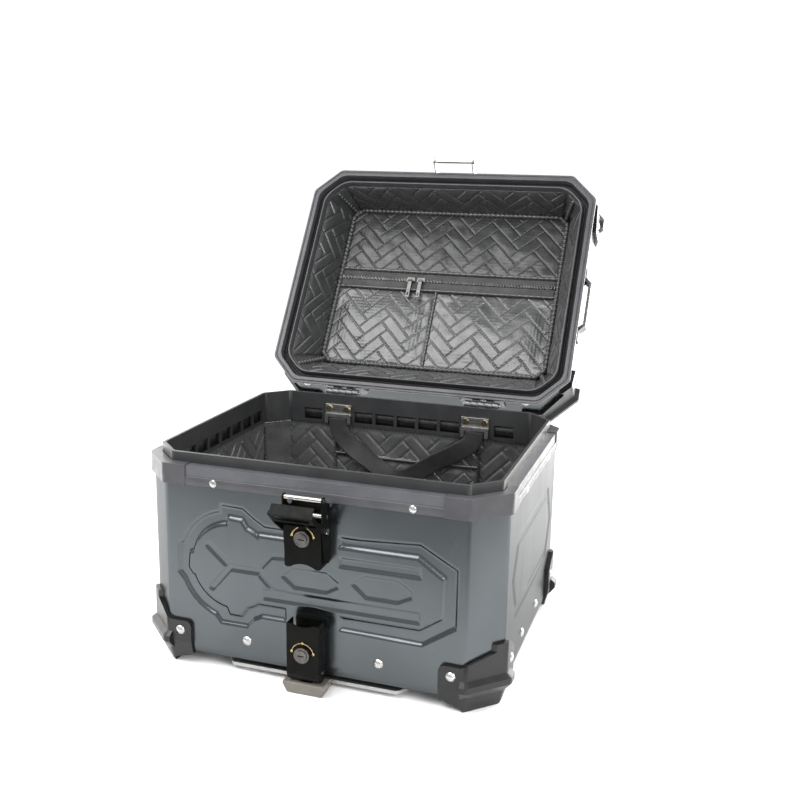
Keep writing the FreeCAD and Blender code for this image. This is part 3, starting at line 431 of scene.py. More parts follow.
def bead(name, line, radii, body, closed, sides):
    """Round leather bead along metre points, with a radius for each point."""
    if closed:
        ahead, behind = np.roll(line, -1, axis=0), np.roll(line, 1, axis=0)
    else:
        ahead, behind = np.concatenate([line[1:], line[-1:]]), np.concatenate([line[:1], line[:-1]])
    along = ahead - behind
    along /= np.linalg.norm(along, axis=1)[:, None]
    # carry one side vector along the line so the rings don't twist
    side = np.cross(along[0], (0.3, 0.5, 0.8))
    angles = 2 * math.pi * np.arange(sides) / sides
    rings = []
    for centre, radius, forward in zip(line, radii, along):
        side = side - forward * (side @ forward)
        side /= np.linalg.norm(side)
        up = np.cross(forward, side)
        rings.append(centre + radius * (np.outer(np.cos(angles), side) + np.outer(np.sin(angles), up)))
    piece(name, np.concatenate(rings), pipe_faces(len(line), sides, closed), body, "quilted_leather")


def run_lengths(line):
    """Distance from the start to each point of a polyline."""
    return np.concatenate([[0], np.cumsum(np.linalg.norm(np.diff(line, axis=0), axis=1))])


def resampled(points, step, closed=False):
    """Points every step along a polyline."""
    points = np.array(points, float)
    if closed:
        points = np.concatenate([points, points[:1]])
    lengths = run_lengths(points)
    count = max(3, int(round(lengths[-1] / step)) + 1)
    at = np.linspace(0, lengths[-1], count)
    if closed:
        at = at[:-1]
    return np.column_stack([np.interp(at, lengths, points[:, k]) for k in range(3)])


def seam(name, points, radius, pitch, depth, body, step=1.1, closed=False, sides=10):
    """Sewn bead along millimetre points that puckers every pitch."""
    line = resampled(points, step, closed)
    wave = 0.5 + 0.5 * np.cos(2 * math.pi * run_lengths(line) / pitch)
    bead(name, in_place(line, body), radius * (1 - depth * wave ** 2) * MM, body, closed, sides)


# ---- distances for pressed and quilted surfaces ----
def polyline_distance(px, pz, points):
    """Distance to an open polyline."""
    nearest = np.full(px.shape, 1e9)
    for (ax, az), (bx, bz) in zip(points, points[1:]):
        ex, ez, wx, wz = bx - ax, bz - az, px - ax, pz - az
        t = np.clip((wx * ex + wz * ez) / (ex * ex + ez * ez), 0, 1)
        nearest = np.minimum(nearest, (wx - ex * t) ** 2 + (wz - ez * t) ** 2)
    return np.sqrt(nearest)


def polygon_distance(px, pz, corners):
    """Signed distance to a closed polygon, negative inside."""
    corners = corners + corners[:1]
    inside = np.zeros(px.shape, bool)
    for (ax, az), (bx, bz) in zip(corners, corners[1:]):
        inside ^= ((az > pz) != (bz > pz)) & (px < (bx - ax) * (pz - az) / (bz - az or 1e-9) + ax)
    return np.where(inside, -1, 1) * polyline_distance(px, pz, corners)


def pressed(distance, depth, slope):
    """Depth of a stamping whose walls slope over a width."""
    t = np.clip((slope / 2 - distance) / slope, 0, 1)
    return depth * t * t * (3 - 2 * t)


def eased(distance, reach):
    """0 at an edge, nearly 1 a few reaches inside it."""
    return 1 - np.exp(-np.clip(distance, 0, None) / reach)


def wander(a, b, scale, seed):
    """Smooth waviness between -1 and 1 from a few crossed waves."""
    total = np.zeros(np.broadcast(a, b).shape)
    for k in range(5):
        angle = 2.4 * k + seed
        wave = (a * math.cos(angle) + b * math.sin(angle)) * (1 + 0.37 * k) / scale
        total += np.sin(wave + 1.7 * k + 3.1 * seed) / (1 + 0.5 * k)
    return total / 3


BRICK, BRICK_LENGTH = 16.5, 3               # width of a quilted brick, and its length in widths
STITCH_PITCH = 4.2


def herringbone(u, v):
    """Distance to the nearest seam of a diagonal herringbone and the way along that seam."""
    a = (u + v) / math.sqrt(2) / BRICK
    b = (v - u) / math.sqrt(2) / BRICK
    i, j = np.floor(a), np.floor(b)
    k = (i - j) % (2 * BRICK_LENGTH)
    lying = k < BRICK_LENGTH
    along = np.where(lying, a - (i - k), b - (j - (2 * BRICK_LENGTH - 1 - k)))
    across = np.where(lying, b - j, a - i)
    side = np.minimum(across, 1 - across)
    end = np.minimum(along, BRICK_LENGTH - along)
    return np.minimum(side, end) * BRICK, np.where(side < end, along, across) * BRICK


def quilted(u, v, puff, groove=0.95):
    """Height of quilted leather over its backing, in millimetres; groove is a seam's half width."""
    distance, along = herringbone(u, v)
    stitches = 0.5 + 0.5 * np.cos(2 * math.pi * along / STITCH_PITCH)
    shoulder = 1 - np.exp(-(distance / groove) ** 2)
    crown = np.sin(np.clip(2 * distance / BRICK, 0, 1) * math.pi / 2)
    return puff * (0.52 * shoulder + 0.06 * crown) - 0.5 * np.exp(-(distance / 1.1) ** 2) * stitches


# ---- case wall ----
HUB_X, HUB_Z = -95.0, 130.0                 # centre of the pressed ring on the front
# the ring lies between two outlines: a circle round the hub joined with polygons
RING_OUTSIDE = (65, [(-112, 188), (-108, 201), (-82, 200), (-66, 188), (-66, 150), (-112, 150)],
                [(-163, 115), (-161, 150), (-140, 156), (-140, 107), (-156, 107)],
                [(-117, 68), (-111, 60), (-78, 60), (-70, 70), (-70, 110), (-117, 110)],
                [(-80, 182), (57, 182), (124, 186), (165, 163), (165, 98), (128, 73), (34, 75), (-80, 75)])
RING_INSIDE = (51, [(-102, 178), (-100, 188), (-83, 187), (-76, 176), (-76, 150), (-102, 150)],
               [(-151, 122), (-149, 140), (-138, 146), (-138, 114), (-146, 114)],
               [(-104, 80), (-100, 71), (-85, 71), (-78, 81), (-78, 110), (-104, 110)],
               [(-64, 172), (122, 172), (151, 152), (150, 106), (125, 89), (-64, 89)])
BADGES = ([(48, 131), (62, 142), (100, 142), (116, 132), (116, 125), (100, 117), (64, 117)],
          [(-35, 128), (-20, 139), (18, 139), (32, 129), (32, 124), (18, 116), (-20, 116)])
# pressed lines: half width and points
LINES = ((1.6, [(-30, 150), (-47, 149), (-61, 133), (-61, 124), (-46, 109), (-24, 108)]),
         (3.4, [(-98, 129), (-66, 129)]), (3.4, [(-100, 131), (-124, 152)]), (3.4, [(-100, 127), (-121, 102)]))


def hub_outline(x, z, radius, *parts):
    return np.minimum.reduce([np.hypot(x - HUB_X, z - HUB_Z) - radius]
                             + [polygon_distance(x, z, part) for part in parts])


def oblong(x, z, centre_x, centre_z, half_x, half_z):
    return np.maximum(np.abs(x - centre_x) - half_x, np.abs(z - centre_z) - half_z)


def front_pressing(x, z):
    """How deep the front wall is pressed in at (x, height above the feet)."""
    latch_zone = oblong(x, z, 1.5, 130, 32.5, 80)
    ring = np.maximum(hub_outline(x, z, *RING_OUTSIDE), -hub_outline(x, z, *RING_INSIDE))
    depth = pressed(np.maximum(ring, -latch_zone), 3.1, 5.0)
    fields = [oblong(x, z, 79.5, 154, 45.5, 5.0), oblong(x, z, 34, 103, 91, 6.0)]
    for field in fields + [polygon_distance(x, z, badge) for badge in BADGES]:
        depth = np.maximum(depth, pressed(field, 1.5, 3.0))
    for half, line in LINES:
        depth = np.maximum(depth, pressed(polyline_distance(x, z, line) - half, 1.3, 2.7))
    thumb = np.sqrt(((x - 1) / 1.9) ** 2 + (z - 85) ** 2) - 9
    return np.maximum(depth, pressed(thumb, 3.0, 12.0))


def side_pressing(y, z):
    """Long hexagon pressed faintly into each side wall."""
    outer = polygon_distance(y, z, [(-118, 130), (-92, 178), (92, 178), (118, 130), (92, 82), (-92, 82)])
    return pressed(np.maximum(outer, -(outer + 11)), 1.0, 4.0)


def build_case_wall():
    bottom = [(22, 13), (11, 13), (7.2, 13.9), (4.2, 15.6), (2.3, 17.9), (1.0, 20.6), (0.3, 23.8)]
    wall = [(0, z) for z in np.linspace(27, 241, 150)]
    inside = [(1.5, 241), (1.5, 214), (4.0, 206), (4.0, 45), (3.6, 28), (5.8, 19.5), (12, 14.6), (22, 14.6)]
    steps = (330, 90, 24, 90, 4)
    rows, normals = swept(bottom + wall + inside, steps)
    x, y, z = rows[..., 0], rows[..., 1], rows[..., 2]
    on_wall = np.zeros(rows.shape[:2], bool)
    on_wall[len(bottom):len(bottom) + len(wall)] = True
    depth = np.zeros(rows.shape[:2])
    front = on_wall & (normals[..., 1] < -0.999)
    sides = on_wall & (np.abs(normals[..., 0]) > 0.999)
    depth[front] = front_pressing(x[front], z[front])
    depth[sides] = side_pressing(y[sides], z[sides])
    band("case_skin", rows - normals * depth[..., None], "case", "wall_metal", ["case_wall"])


def band(name, rows, body, slot, replaced=(), finish=None):
    """Closed band from rows of millimetre points round the case or the lid."""
    faces = band_faces(*rows.shape[:2], closed_rows=True)
    if body == "lid":
        faces = faces[:, ::-1]
    return piece(name, in_place(rows, body), faces, body, slot, replaced, finish)


def build_case_rim():
    """Lower step round the rim's skirt, and a bare metal sheet seen through the skirt's openings inside, whose
    dim tone is painted shade for the dark openings.
    """
    step = [(-1.9, 221.2), (-2.9, 221.6), (-3.3, 222.6), (-3.3, 230.2), (-2.9, 231.2), (-1.9, 231.9)]
    band("rim_step", swept(step, (12, 12, 12, 12, 3), 6)[0], "case", "rim_plastic")
    # painted shade: the sheet is coloured dim so the openings look shaded
    sheet = [(7.9, 214.8), (7.9, 235.5), (8.5, 235.5), (8.5, 214.8)]
    band("rim_inner_sheet", swept(sheet, (24, 24, 24, 24, 6), 5)[0], "case", "wall_metal", (), "inner_sheet")


def rounded(corners, radius, steps=4):
    """A profile of (inset, height) corners with each corner turned into a small arc."""
    made = []
    count = len(corners)
    for i, corner in enumerate(corners):
        corner = np.array(corner, float)
        to_before = np.array(corners[i - 1]) - corner
        to_after = np.array(corners[(i + 1) % count]) - corner
        reach_before, reach_after = np.linalg.norm(to_before), np.linalg.norm(to_after)
        trim = min(radius, 0.45 * reach_before, 0.45 * reach_after)
        start, end = corner + to_before / reach_before * trim, corner + to_after / reach_after * trim
        for k in range(steps + 1):
            t = k / steps
            made.append(tuple((1 - t) ** 2 * start + 2 * t * (1 - t) * corner + t * t * end))
    return made


def build_lid_rim():
    """Rim with a rounded foot, two fine grooves and a deep channel, and the seal's two soft lips in it."""
    rim = rounded([(-3.6, 249.4), (-3.6, 245.1), (-0.9, 245.1), (-0.5, 246.3), (0.4, 246.3), (0.8, 245.1),
                   (5.8, 245.1), (5.8, 259.8), (14.2, 259.8), (14.2, 247.1), (16.3, 247.1), (16.3, 261.8),
                   (2.1, 261.8), (2.1, 249.4)], 0.9)
    seal = rounded([(6.7, 259.7), (6.7, 256.6), (7.6, 255.9), (8.9, 255.9), (9.8, 257.4), (10.4, 257.4),
                    (11.3, 255.9), (12.5, 255.9), (13.3, 256.6), (13.3, 259.7)], 0.5, 3)
    for profile, name, slot, node in ((rim, "lid_rim_moulding", "rim_plastic", "lid_rim"),
                                      (seal, "lid_seal_bulb", "seal_rubber", "lid_seal")):
        rows, _ = swept(profile, (16, 16, 16, 16, 4), 12, lid_rim_bend)
        band(name, rows, "lid", slot, [node])


# ---- case lining ----
def build_case_lining():
    """Quilted lining of the four walls, with a bound top edge."""
    outer = [(20, 17.2), (8.8, 21.5), (4.4, 38), (4.4, 120), (4.4, 211), (4.9, 212.6), (6.2, 213.2)]
    inner_top = [(7.4, 212.9), (8.2, 211.8)]
    wall = [(8.0, z) for z in np.arange(210, 37, -1.9)]
    foot = [(8.5, 34), (9.6, 29.5), (11.4, 25.5), (14, 22.5), (17.5, 20.6), (21.5, 19.8)]
    steps = (60, 150, 320, 300, 12)             # the front wall is seen least
    profile = outer + inner_top + wall + foot
    rows, normals = swept(profile, steps, 5)
    along = arc_lengths(rows[len(outer) + 4])
    z = rows[..., 2]
    u = np.broadcast_to(along, z.shape)
    inside = np.zeros(z.shape, bool)
    inside[len(outer) + 1:] = True
    flat = np.abs(np.abs(normals[..., 0]) - np.abs(normals[..., 1]))
    on_panel = np.clip((flat - 0.35) / 0.5, 0, 1)
    binding = np.clip((z - 203.5) / 1.5, 0, 1)  # share of the bound edge at a height
    puff = quilted(u, z, 3.4, 1.5) * on_panel * (1 - binding)
    bound = binding * (1.3 + 0.25 * np.cos(2 * math.pi * u / 5.2)) * (z < 212)
    folds = 0.35 * (1 - on_panel) * np.sin(z / 5.3 + wander(u, z, 12, 5.0)) * (1 - binding)
    sag = 0.9 * wander(u, z, 21, 1.3)
    rows = rows - normals * (inside * (puff + bound + folds + sag))[..., None]
    # the lining takes the lighter copy of the leather, painted light
    lining = band("case_wall_lining", rows, "case", "quilted_leather", ["case_lining"], "case_leather_painted_light")


def build_floor_mat():
    """Quilted mat on the case floor."""
    half_x, half_y, leg = 189.0, 150.0, 21.0
    across, deep = np.linspace(-1, 1, 300), np.linspace(-half_y, half_y, 240)
    s, y = np.meshgrid(across, deep)
    x = s * (half_x - np.clip(leg - (half_y - np.abs(y)), 0, leg))
    edge = np.minimum(half_x - np.abs(x), half_y - np.abs(y))
    height = 17.4 + quilted(x, y, 2.2) + 1.2 * eased(edge, 5) + 0.4 * wander(x, y, 30, 0.4)
    slab("case_floor_mat", (x, y, height), (0, 0, -1.2 * MM), "case", ["floor_mat"], "case_leather_painted_light")


POCKET_X, POCKET_LOW, POCKET_HIGH = 101.5, 41.0, 172.0


def build_rear_pocket():
    """Gathered pocket on the rear wall under an elastic edge."""
    x, z = np.meshgrid(np.linspace(-POCKET_X, POCKET_X, 190), np.linspace(POCKET_LOW, POCKET_HIGH, 122))
    across = np.cos(x / POCKET_X * math.pi / 2) ** 0.5
    up = (z - POCKET_LOW) / (POCKET_HIGH - POCKET_LOW)
    belly = 1.6 * across * np.sin(math.pi * np.clip(up, 0.02, 0.98)) ** 0.7
    gather = 0.5 * np.sin(x / 2.6 + 1.4 * wander(x, z, 14, 2.0)) * np.clip((up - 0.86) / 0.14, 0, 1)
    height = quilted(x + 9, z, 3.0) * np.clip((0.95 - up) / 0.05, 0, 1) + belly + gather
    slab("rear_pocket_panel", (x, 163.0 - height, z), (0, 1.4 * MM, 0), "case", ["rear_pocket"],
         "case_leather_painted_light")


def build_case_seams():
    """Piped seams: pocket mouth, pocket sides and the four corners."""
    y, side_x = 160.8, POCKET_X + 2
    seam("pocket_mouth_piping", [(-side_x, y - 0.5, POCKET_HIGH), (-40, y - 1.7, POCKET_HIGH - 1.4),
                                 (40, y - 1.7, POCKET_HIGH - 1.4), (side_x, y - 0.5, POCKET_HIGH)],
         2.1, 6.0, 0.22, "case")
    for side, s in SIDES:
        seam("rear_seam_" + side, [(s * side_x, y, 36), (s * side_x, y, 209)], 2.2, 6.4, 0.25, "case")
    inset = 10.2
    corner_y = WALL_Y - CHAMFER + inset * (1 - math.sqrt(2) / 2) - 4
    for corner, s, e in CORNERS:
        foot = (s * (WALL_X - inset), e * corner_y)
        seam("corner_seam_" + corner, [(*foot, 34), (*foot, 208)], 2.0, 6.4, 0.25, "case")


# ---- strap ----
STRAP_WIDTH, STRAP_THICK = 25.0, 2.0
STRAP_ROUTE = [(-98, 154.5, 223), (-98, 154.3, 209.5), (-88, 152, 195.5), (-70, 149.5, 182),
               (-50, 148, 169.5), (-30, 147, 157.5), (-10, 147, 147.5), (9, 148, 150.5), (28, 149, 164),
               (49, 150.5, 178), (70, 152, 189.5), (89, 153.4, 200.5), (97.5, 154.3, 211), (98, 154.5, 223)]


def spline_points(route):
    """Points read from the smooth curve along a route, in metres."""
    curve = bpy.data.curves.new("route", "CURVE")
    curve.dimensions = "3D"
    spline = curve.splines.new("NURBS")
    spline.points.add(len(route) - 1)
    for point, place in zip(spline.points, route):
        point.co = (*place, 1)
    spline.order_u = 3
    spline.use_endpoint_u = True
    spline.resolution_u = 14
    holder = placed("route", curve)
    bpy.context.view_layer.update()
    mesh = bpy.data.meshes.new_from_object(holder)
    line = np.array([v.co for v in mesh.vertices], float)
    bpy.data.objects.remove(holder)
    bpy.data.meshes.remove(mesh)
    bpy.data.curves.remove(curve)
    return line


def build_strap():
    """Webbing strap that hangs between the two brackets and turns a little on its left side."""
    line = spline_points(feet(STRAP_ROUTE))
    count = len(line)
    along = np.gradient(line, axis=0)
    along /= np.linalg.norm(along, axis=1)[:, None]
    share = np.linspace(0, 1, count)
    turn = np.radians(52 * np.exp(-((share - 0.30) / 0.13) ** 2) - 14 * np.exp(-((share - 0.72) / 0.14) ** 2))
    width_steps, half = 12, STRAP_WIDTH / 2 * MM
    profile = [(-half + 2 * half * k / width_steps, STRAP_THICK / 2 * MM) for k in range(width_steps + 1)]
    profile += [(-w, -t) for w, t in profile]
    rings = []
    for k in range(count):
        flat = np.cross(along[k], (0.0, -1.0, 0.0))
        flat /= np.linalg.norm(flat)
        out = np.cross(flat, along[k])
        wide = flat * math.cos(turn[k]) + out * math.sin(turn[k])
        thick = np.cross(along[k], wide)
        crown = [0.35 * MM * (1 - (w / half) ** 2) for w, _ in profile]
        rings.append([line[k] + wide * w + thick * (t + c * (1 if t > 0 else -1) * 0.4)
                      for (w, t), c in zip(profile, crown)])
    points = np.array(rings).reshape(-1, 3)
    faces = pipe_faces(count, len(profile))
    strap = piece("strap_webbing", points, faces, "case", "webbing", ["cargo_strap"])


# ---- lid lining ----
def panel_plan(grow, steps, arc_steps=4):
    half_y = (PANEL_Y1 - PANEL_Y0) / 2 + grow
    return octagon(PANEL_X + grow, half_y, PANEL_LEG, BEND_RADIUS, steps, arc_steps,
                   (PANEL_Y0 + PANEL_Y1) / 2)


def build_lid_walls():
    """Sloping quilted walls between the lid's rim and the panel."""
    steps = (300, 230, 300, 230, 20)
    rim, _ = case_plan(17.4, steps, 4)
    panel, _ = panel_plan(3.5, steps)
    low, high = 257.5, 314.5
    shares = np.linspace(0, 1, 61)
    face = np.array([at_height(rim * (1 - t) + panel * t, low + (high - low) * t) for t in shares])
    du = np.roll(face, -1, axis=1) - np.roll(face, 1, axis=1)
    dv = np.gradient(face, axis=0)
    normal = np.cross(dv, du)
    normal /= np.linalg.norm(normal, axis=2)[..., None]
    inward = np.sign((normal * (np.array([0, 0, 250.0]) - face)).sum(2))[..., None]
    normal = normal * inward
    along = arc_lengths(face[30])
    u = np.broadcast_to(along, face.shape[:2])
    slope = np.linalg.norm(face[-1] - face[0], axis=1)
    v = shares[:, None] * slope[None, :]
    edge = np.minimum(v, slope[None, :] - v)
    turn = np.abs(np.abs(normal[..., 0]) - np.abs(normal[..., 1]))
    on_panel = np.clip((turn - 0.25) / 0.4, 0, 1)
    rise = 1 - np.exp(-edge / 3.0)
    crown = 2.2 * np.sin(math.pi * shares)[:, None] * on_panel
    folds = 0.5 * (1 - on_panel) * np.sin(v / 4.6 + 1.1 * wander(u, v, 9, 4.0)) * rise
    puff = quilted(u, v + 6, 3.0, 1.3) * on_panel
    height = rise * puff + crown + folds + 0.8 * wander(u, v, 19, 2.6) * rise
    face = face + normal * height[..., None]
    middle = len(face) // 2
    back = [at_height(rim, low) - normal[0] * 1.0,
            at_height(rim * 0.5 + panel * 0.5, (low + high) / 2) - normal[middle] * 2.5,
            face[-1] - normal[-1] * 1.5]
    rows = np.concatenate([face[::-1], back])
    faces = band_faces(len(rows), len(rim), closed_rows=True)
    walls = piece("lid_quilted_walls", lid_feet(rows), faces, "lid", "quilted_leather", ["lid_wall_lining"])


def panel_half_x(y):
    """Half width of the panel field at a depth, with its cut corners."""
    cut = np.maximum(PANEL_LEG - (y - PANEL_Y0), PANEL_LEG - (PANEL_Y1 - y))
    return PANEL_X - np.clip(cut, 0, PANEL_LEG)


CLOTH = {"quality": 6, "mass": 0.3, "use_pressure": True, "uniform_pressure_force": 1.2,
         "vertex_group_mass": "sewn", "tension_stiffness": 12, "compression_stiffness": 8,
         "shear_stiffness": 4, "shrink_min": -0.012}
CLOTH_STEP, CLOTH_THICK, CLOTH_FRAMES = 5.0, 6.0, 20


def swelled_grid(name, gx, gy):
    """How far each point of a flat pad rises when Blender's cloth swells it, its border sewn down."""
    ny, nx = gx.shape
    top = np.stack([gx, gy, np.full(gx.shape, CLOTH_THICK / 2)], -1).reshape(-1, 3)
    quads, rim, first = grid_faces(ny, nx), grid_border(ny, nx), len(top)
    skirt = [(rim[k - 1], first + rim[k - 1], first + rim[k], rim[k]) for k in range(len(rim))]
    mesh = bpy.data.meshes.new(name)
    mesh.from_pydata([tuple(p * MM) for p in np.concatenate([top, top * (1, 1, -1)])], [],
                     shifted(quads, 0) + shifted(quads, first, flip=True) + skirt)
    pad = placed(name, mesh)
    pad.vertex_groups.new(name="sewn").add(rim + [first + i for i in rim], 1.0, "REPLACE")
    cloth = pad.modifiers.new("swell", "CLOTH").settings
    for key, value in CLOTH.items():
        setattr(cloth, key, value)
    cloth.effector_weights.gravity = 0
    for number in range(1, CLOTH_FRAMES + 1):
        bpy.context.scene.frame_set(number)
    shown = pad.evaluated_get(bpy.context.evaluated_depsgraph_get())
    moved = np.array([v.co for v in shown.data.vertices], float)[:first] / MM
    bpy.data.objects.remove(pad)
    bpy.data.meshes.remove(mesh)
    bpy.context.scene.frame_set(1)
    return np.clip(moved[:, 2] - CLOTH_THICK / 2, 0, None).reshape(ny, nx)


def swollen(x0, x1, y0, y1, cap, name):
    """Cloth-simulated swelling of a flat pad: a function of (x, y) that gives millimetres of rise."""
    nx, ny = int((x1 - x0) / CLOTH_STEP) + 1, int((y1 - y0) / CLOTH_STEP) + 1
    rise_at = swelled_grid(name, *np.meshgrid(np.linspace(x0, x1, nx), np.linspace(y0, y1, ny)))
    for _ in range(2):
        wide = np.pad(rise_at, 1)
        rise_at = (4 * rise_at + wide[:-2, 1:-1] + wide[2:, 1:-1] + wide[1:-1, :-2] + wide[1:-1, 2:]) / 8
    rise_at *= min(1.0, cap / float(rise_at.max()))

    def rise(x, y):
        """Smooth reading between the grid's points."""
        fx = np.clip((x - x0) / (x1 - x0), 0, 1) * (nx - 1)
        fy = np.clip((y - y0) / (y1 - y0), 0, 1) * (ny - 1)
        ix, iy = np.minimum(fx.astype(int), nx - 2), np.minimum(fy.astype(int), ny - 2)
        tx, ty = fx - ix, fy - iy
        tx, ty = tx * tx * (3 - 2 * tx), ty * ty * (3 - 2 * ty)
        return (rise_at[iy, ix] * (1 - tx) * (1 - ty) + rise_at[iy, ix + 1] * tx * (1 - ty)
                + rise_at[iy + 1, ix] * (1 - tx) * ty + rise_at[iy + 1, ix + 1] * tx * ty)
    return rise


def lid_pad(name, x0, x1, y0, y1, cap, puff, seed, replaced, columns, rows, finish=None):
    """Padded field of the lid's panel: swelling, quilting and a few creases."""
    rise = swollen(x0, x1, y0, y1, cap, name + "_swell")
    s, y = np.meshgrid(np.linspace(0, 1, columns), np.linspace(y0, y1, rows))
    half = panel_half_x(y)
    left, right = np.maximum(x0, -half), np.minimum(x1, half)
    x = left + (right - left) * s
    edge = np.minimum(np.minimum(x - left, right - x), np.minimum(y - y0, y1 - y))
    creases = 0.7 * wander(x, y, 16, seed) + 0.35 * wander(x, y, 6, seed + 1)
    height = rise(x, y) + eased(edge, 3.0) * (quilted(x + 4, y + 7 * seed, puff) + creases)
    # rows run the other way so that the grid faces the inside of the lid
    grid = [part[::-1] for part in (x, y, LINING_Z + 3.5 - height)]
    back = opened(np.array(HINGE) + (0, 0, 3 * MM)) - np.array(HINGE)
    slab(name, grid, back, "lid", [replaced], finish)


def build_lid_panels():
    """The upper panel and the two pockets, each with its rise cap, quilting depth and crease seed."""
    upper = (PANEL_Y0 + 1.5, ZIP_Y - ZIP_HALF - 1)
    lower = (ZIP_Y + ZIP_HALF + 1, PANEL_Y1 - 1.5)
    # the upper panel takes the darker copy of the leather, painted shade
    lid_pad("lid_quilted_panel", -PANEL_X, PANEL_X, *upper, 2.5, 1.5, 0.7, "lid_upper_panel", 400, 122,
            "panel_leather_painted_shade")
    lid_pad("lid_quilted_pocket_left", -PANEL_X, POCKET_SPLIT_X - 1.2, *lower, 5.0, 1.7, 1.9,
            "lid_pocket_left", 186, 148)
    lid_pad("lid_quilted_pocket_right", POCKET_SPLIT_X + 1.2, PANEL_X, *lower, 5.0, 1.7, 3.2,
            "lid_pocket_right", 214, 148)


def build_lid_seams():
    """Beaded seams round the panel and down the four corners, and the welts beside the zipper."""
    plan, _ = panel_plan(0.5, (6, 6, 6, 6, 2), 4)
    seam("lid_panel_seam", at_height(plan, LINING_Z + 1.6), 3.9, 7.0, 0.42, "lid", 1.2, closed=True, sides=12)
    for name, y, radius in (("upper", ZIP_Y - ZIP_HALF, 3.0), ("lower", ZIP_Y + ZIP_HALF, 2.4)):
        seam("zip_welt_" + name, [(-PANEL_X + 1, y, LINING_Z + 1.5), (-60, y + 0.8, LINING_Z + 0.4),
                                  (60, y + 0.8, LINING_Z + 0.4), (PANEL_X - 1, y, LINING_Z + 1.5)],
             radius, 9.0, 0.2, "lid", 1.2)
    seam("pocket_divider_seam", [(POCKET_SPLIT_X, ZIP_Y + ZIP_HALF, LINING_Z + 2.4),
                                 (POCKET_SPLIT_X, PANEL_Y1, LINING_Z + 2.4)], 2.3, 6.0, 0.34, "lid")
    rim_inset, outwards = 17.9, 3.0 - PANEL_LEG / 2
    rim_leg = CHAMFER - rim_inset * (2 - math.sqrt(2))
    for corner, s, e in CORNERS:
        panel_y = PANEL_Y0 if e < 0 else PANEL_Y1
        rim_point = (s * (WALL_X - rim_inset - rim_leg / 2), e * (WALL_Y - rim_inset - rim_leg / 2), 259)
        panel_point = (s * (PANEL_X + outwards), panel_y + e * outwards, LINING_Z + 3)
        seam("lid_corner_seam_" + corner, [rim_point, panel_point], 3.6, 6.4, 0.45, "lid")


# ---- zipper ----
def build_zip_tape():
    """Two ribbed strips of tape either side of the teeth."""
    strips, faces = [], []
    for low, high in ((ZIP_Y - ZIP_HALF, ZIP_Y - 2.2), (ZIP_Y + 2.2, ZIP_Y + ZIP_HALF)):
        y, x = np.meshgrid(np.linspace(low, high, 40), np.linspace(-166, 166, 84), indexing="ij")
        ribs = 0.75 * np.abs(np.sin((y - low) * math.pi / 3.2)) + 0.3 * wander(x, y, 24, 1.1)
        front = np.stack([x, y, LINING_Z + 2.0 - ribs], -1).reshape(-1, 3)
        back = front + (0, 0, 1.2)
        quads, rim = grid_faces(*x.shape), grid_border(*x.shape)
        start = sum(len(s) for s in strips)
        behind = start + len(front)
        faces += shifted(quads, start, flip=True) + shifted(quads, behind)
        faces += [(start + rim[k - 1], start + rim[k], behind + rim[k], behind + rim[k - 1])
                  for k in range(len(rim))]
        strips.append(np.concatenate([front, back]))
    piece("zip_tape", lid_feet(np.concatenate(strips)), faces, "lid", "zipper_fabric", ["zipper_tape"])


def block(x0, x1, y0, y1, z0, z1, chamfer):
    """Small eight-sided block with its front face drawn in: points and faces."""
    front = [(x0 + chamfer, y0 + chamfer, z0), (x1 - chamfer, y0 + chamfer, z0),
             (x1 - chamfer, y1 - chamfer, z0), (x0 + chamfer, y1 - chamfer, z0)]
    middle = [(x0, y0, z0 + chamfer), (x1, y0, z0 + chamfer), (x1, y1, z0 + chamfer), (x0, y1, z0 + chamfer)]
    back = [(x0, y0, z1), (x1, y0, z1), (x1, y1, z1), (x0, y1, z1)]
    faces = [(3, 2, 1, 0), (8, 9, 10, 11)]
    for a in (0, 4):
        faces += [(a + k, a + (k + 1) % 4, a + 4 + (k + 1) % 4, a + 4 + k) for k in range(4)]
    return front + middle + back, faces


def joined(parts):
    """One set of points and faces from several."""
    points, faces = [], []
    for some_points, some_faces in parts:
        faces += shifted(some_faces, len(points))
        points += list(some_points)
    return points, faces


def build_zip_teeth():
    """Two staggered rows of teeth between two end stops."""
    pitch = 2.3
    places = []
    for k in range(int(326 / pitch)):
        x, y = -163 + k * pitch, ZIP_Y + (0.5 if k % 2 else -0.5)
        places.append((x, x + 1.5, y - 2.3, y + 2.3, LINING_Z + 0.5, LINING_Z + 2.2, 0.35))
    for x in (-164.8, 162.8):
        places.append((x, x + 2, ZIP_Y - 2.8, ZIP_Y + 2.8, LINING_Z - 0.6, LINING_Z + 2.2, 0.4))
    points, faces = joined(block(*place) for place in places)
    coil = piece("zip_coil", lid_feet(points), faces, "lid", "zipper_metal", ["zipper_teeth"], "tooth_metal")
    coil.data.shade_flat()


# ---- lock marks ----
def ring_mark(centre_z, y, inner, outer, start, stop, grow=0.0, steps=20):
    """Thin raised arc on a latch cover: points and faces. Angles are degrees from straight up."""
    points, faces = [], []
    for k in range(steps + 1):
        share = k / steps
        angle = math.radians(start + (stop - start) * share)
        points += [(radius * math.sin(angle), y + 0.15 - proud, centre_z + radius * math.cos(angle))
                   for radius in (inner - grow * share, outer + grow * share) for proud in (0.0, 0.35)]
    for k in range(steps):
        a, b = 4 * k, 4 * k + 4
        faces += [(a + 1, a + 3, b + 3, b + 1), (a, a + 1, b + 1, b), (a + 3, a + 2, b + 2, b + 3),
                  (a + 2, a, b, b + 2)]
    faces += [(0, 2, 3, 1), (4 * steps + 1, 4 * steps + 3, 4 * steps + 2, 4 * steps)]
    return points, faces


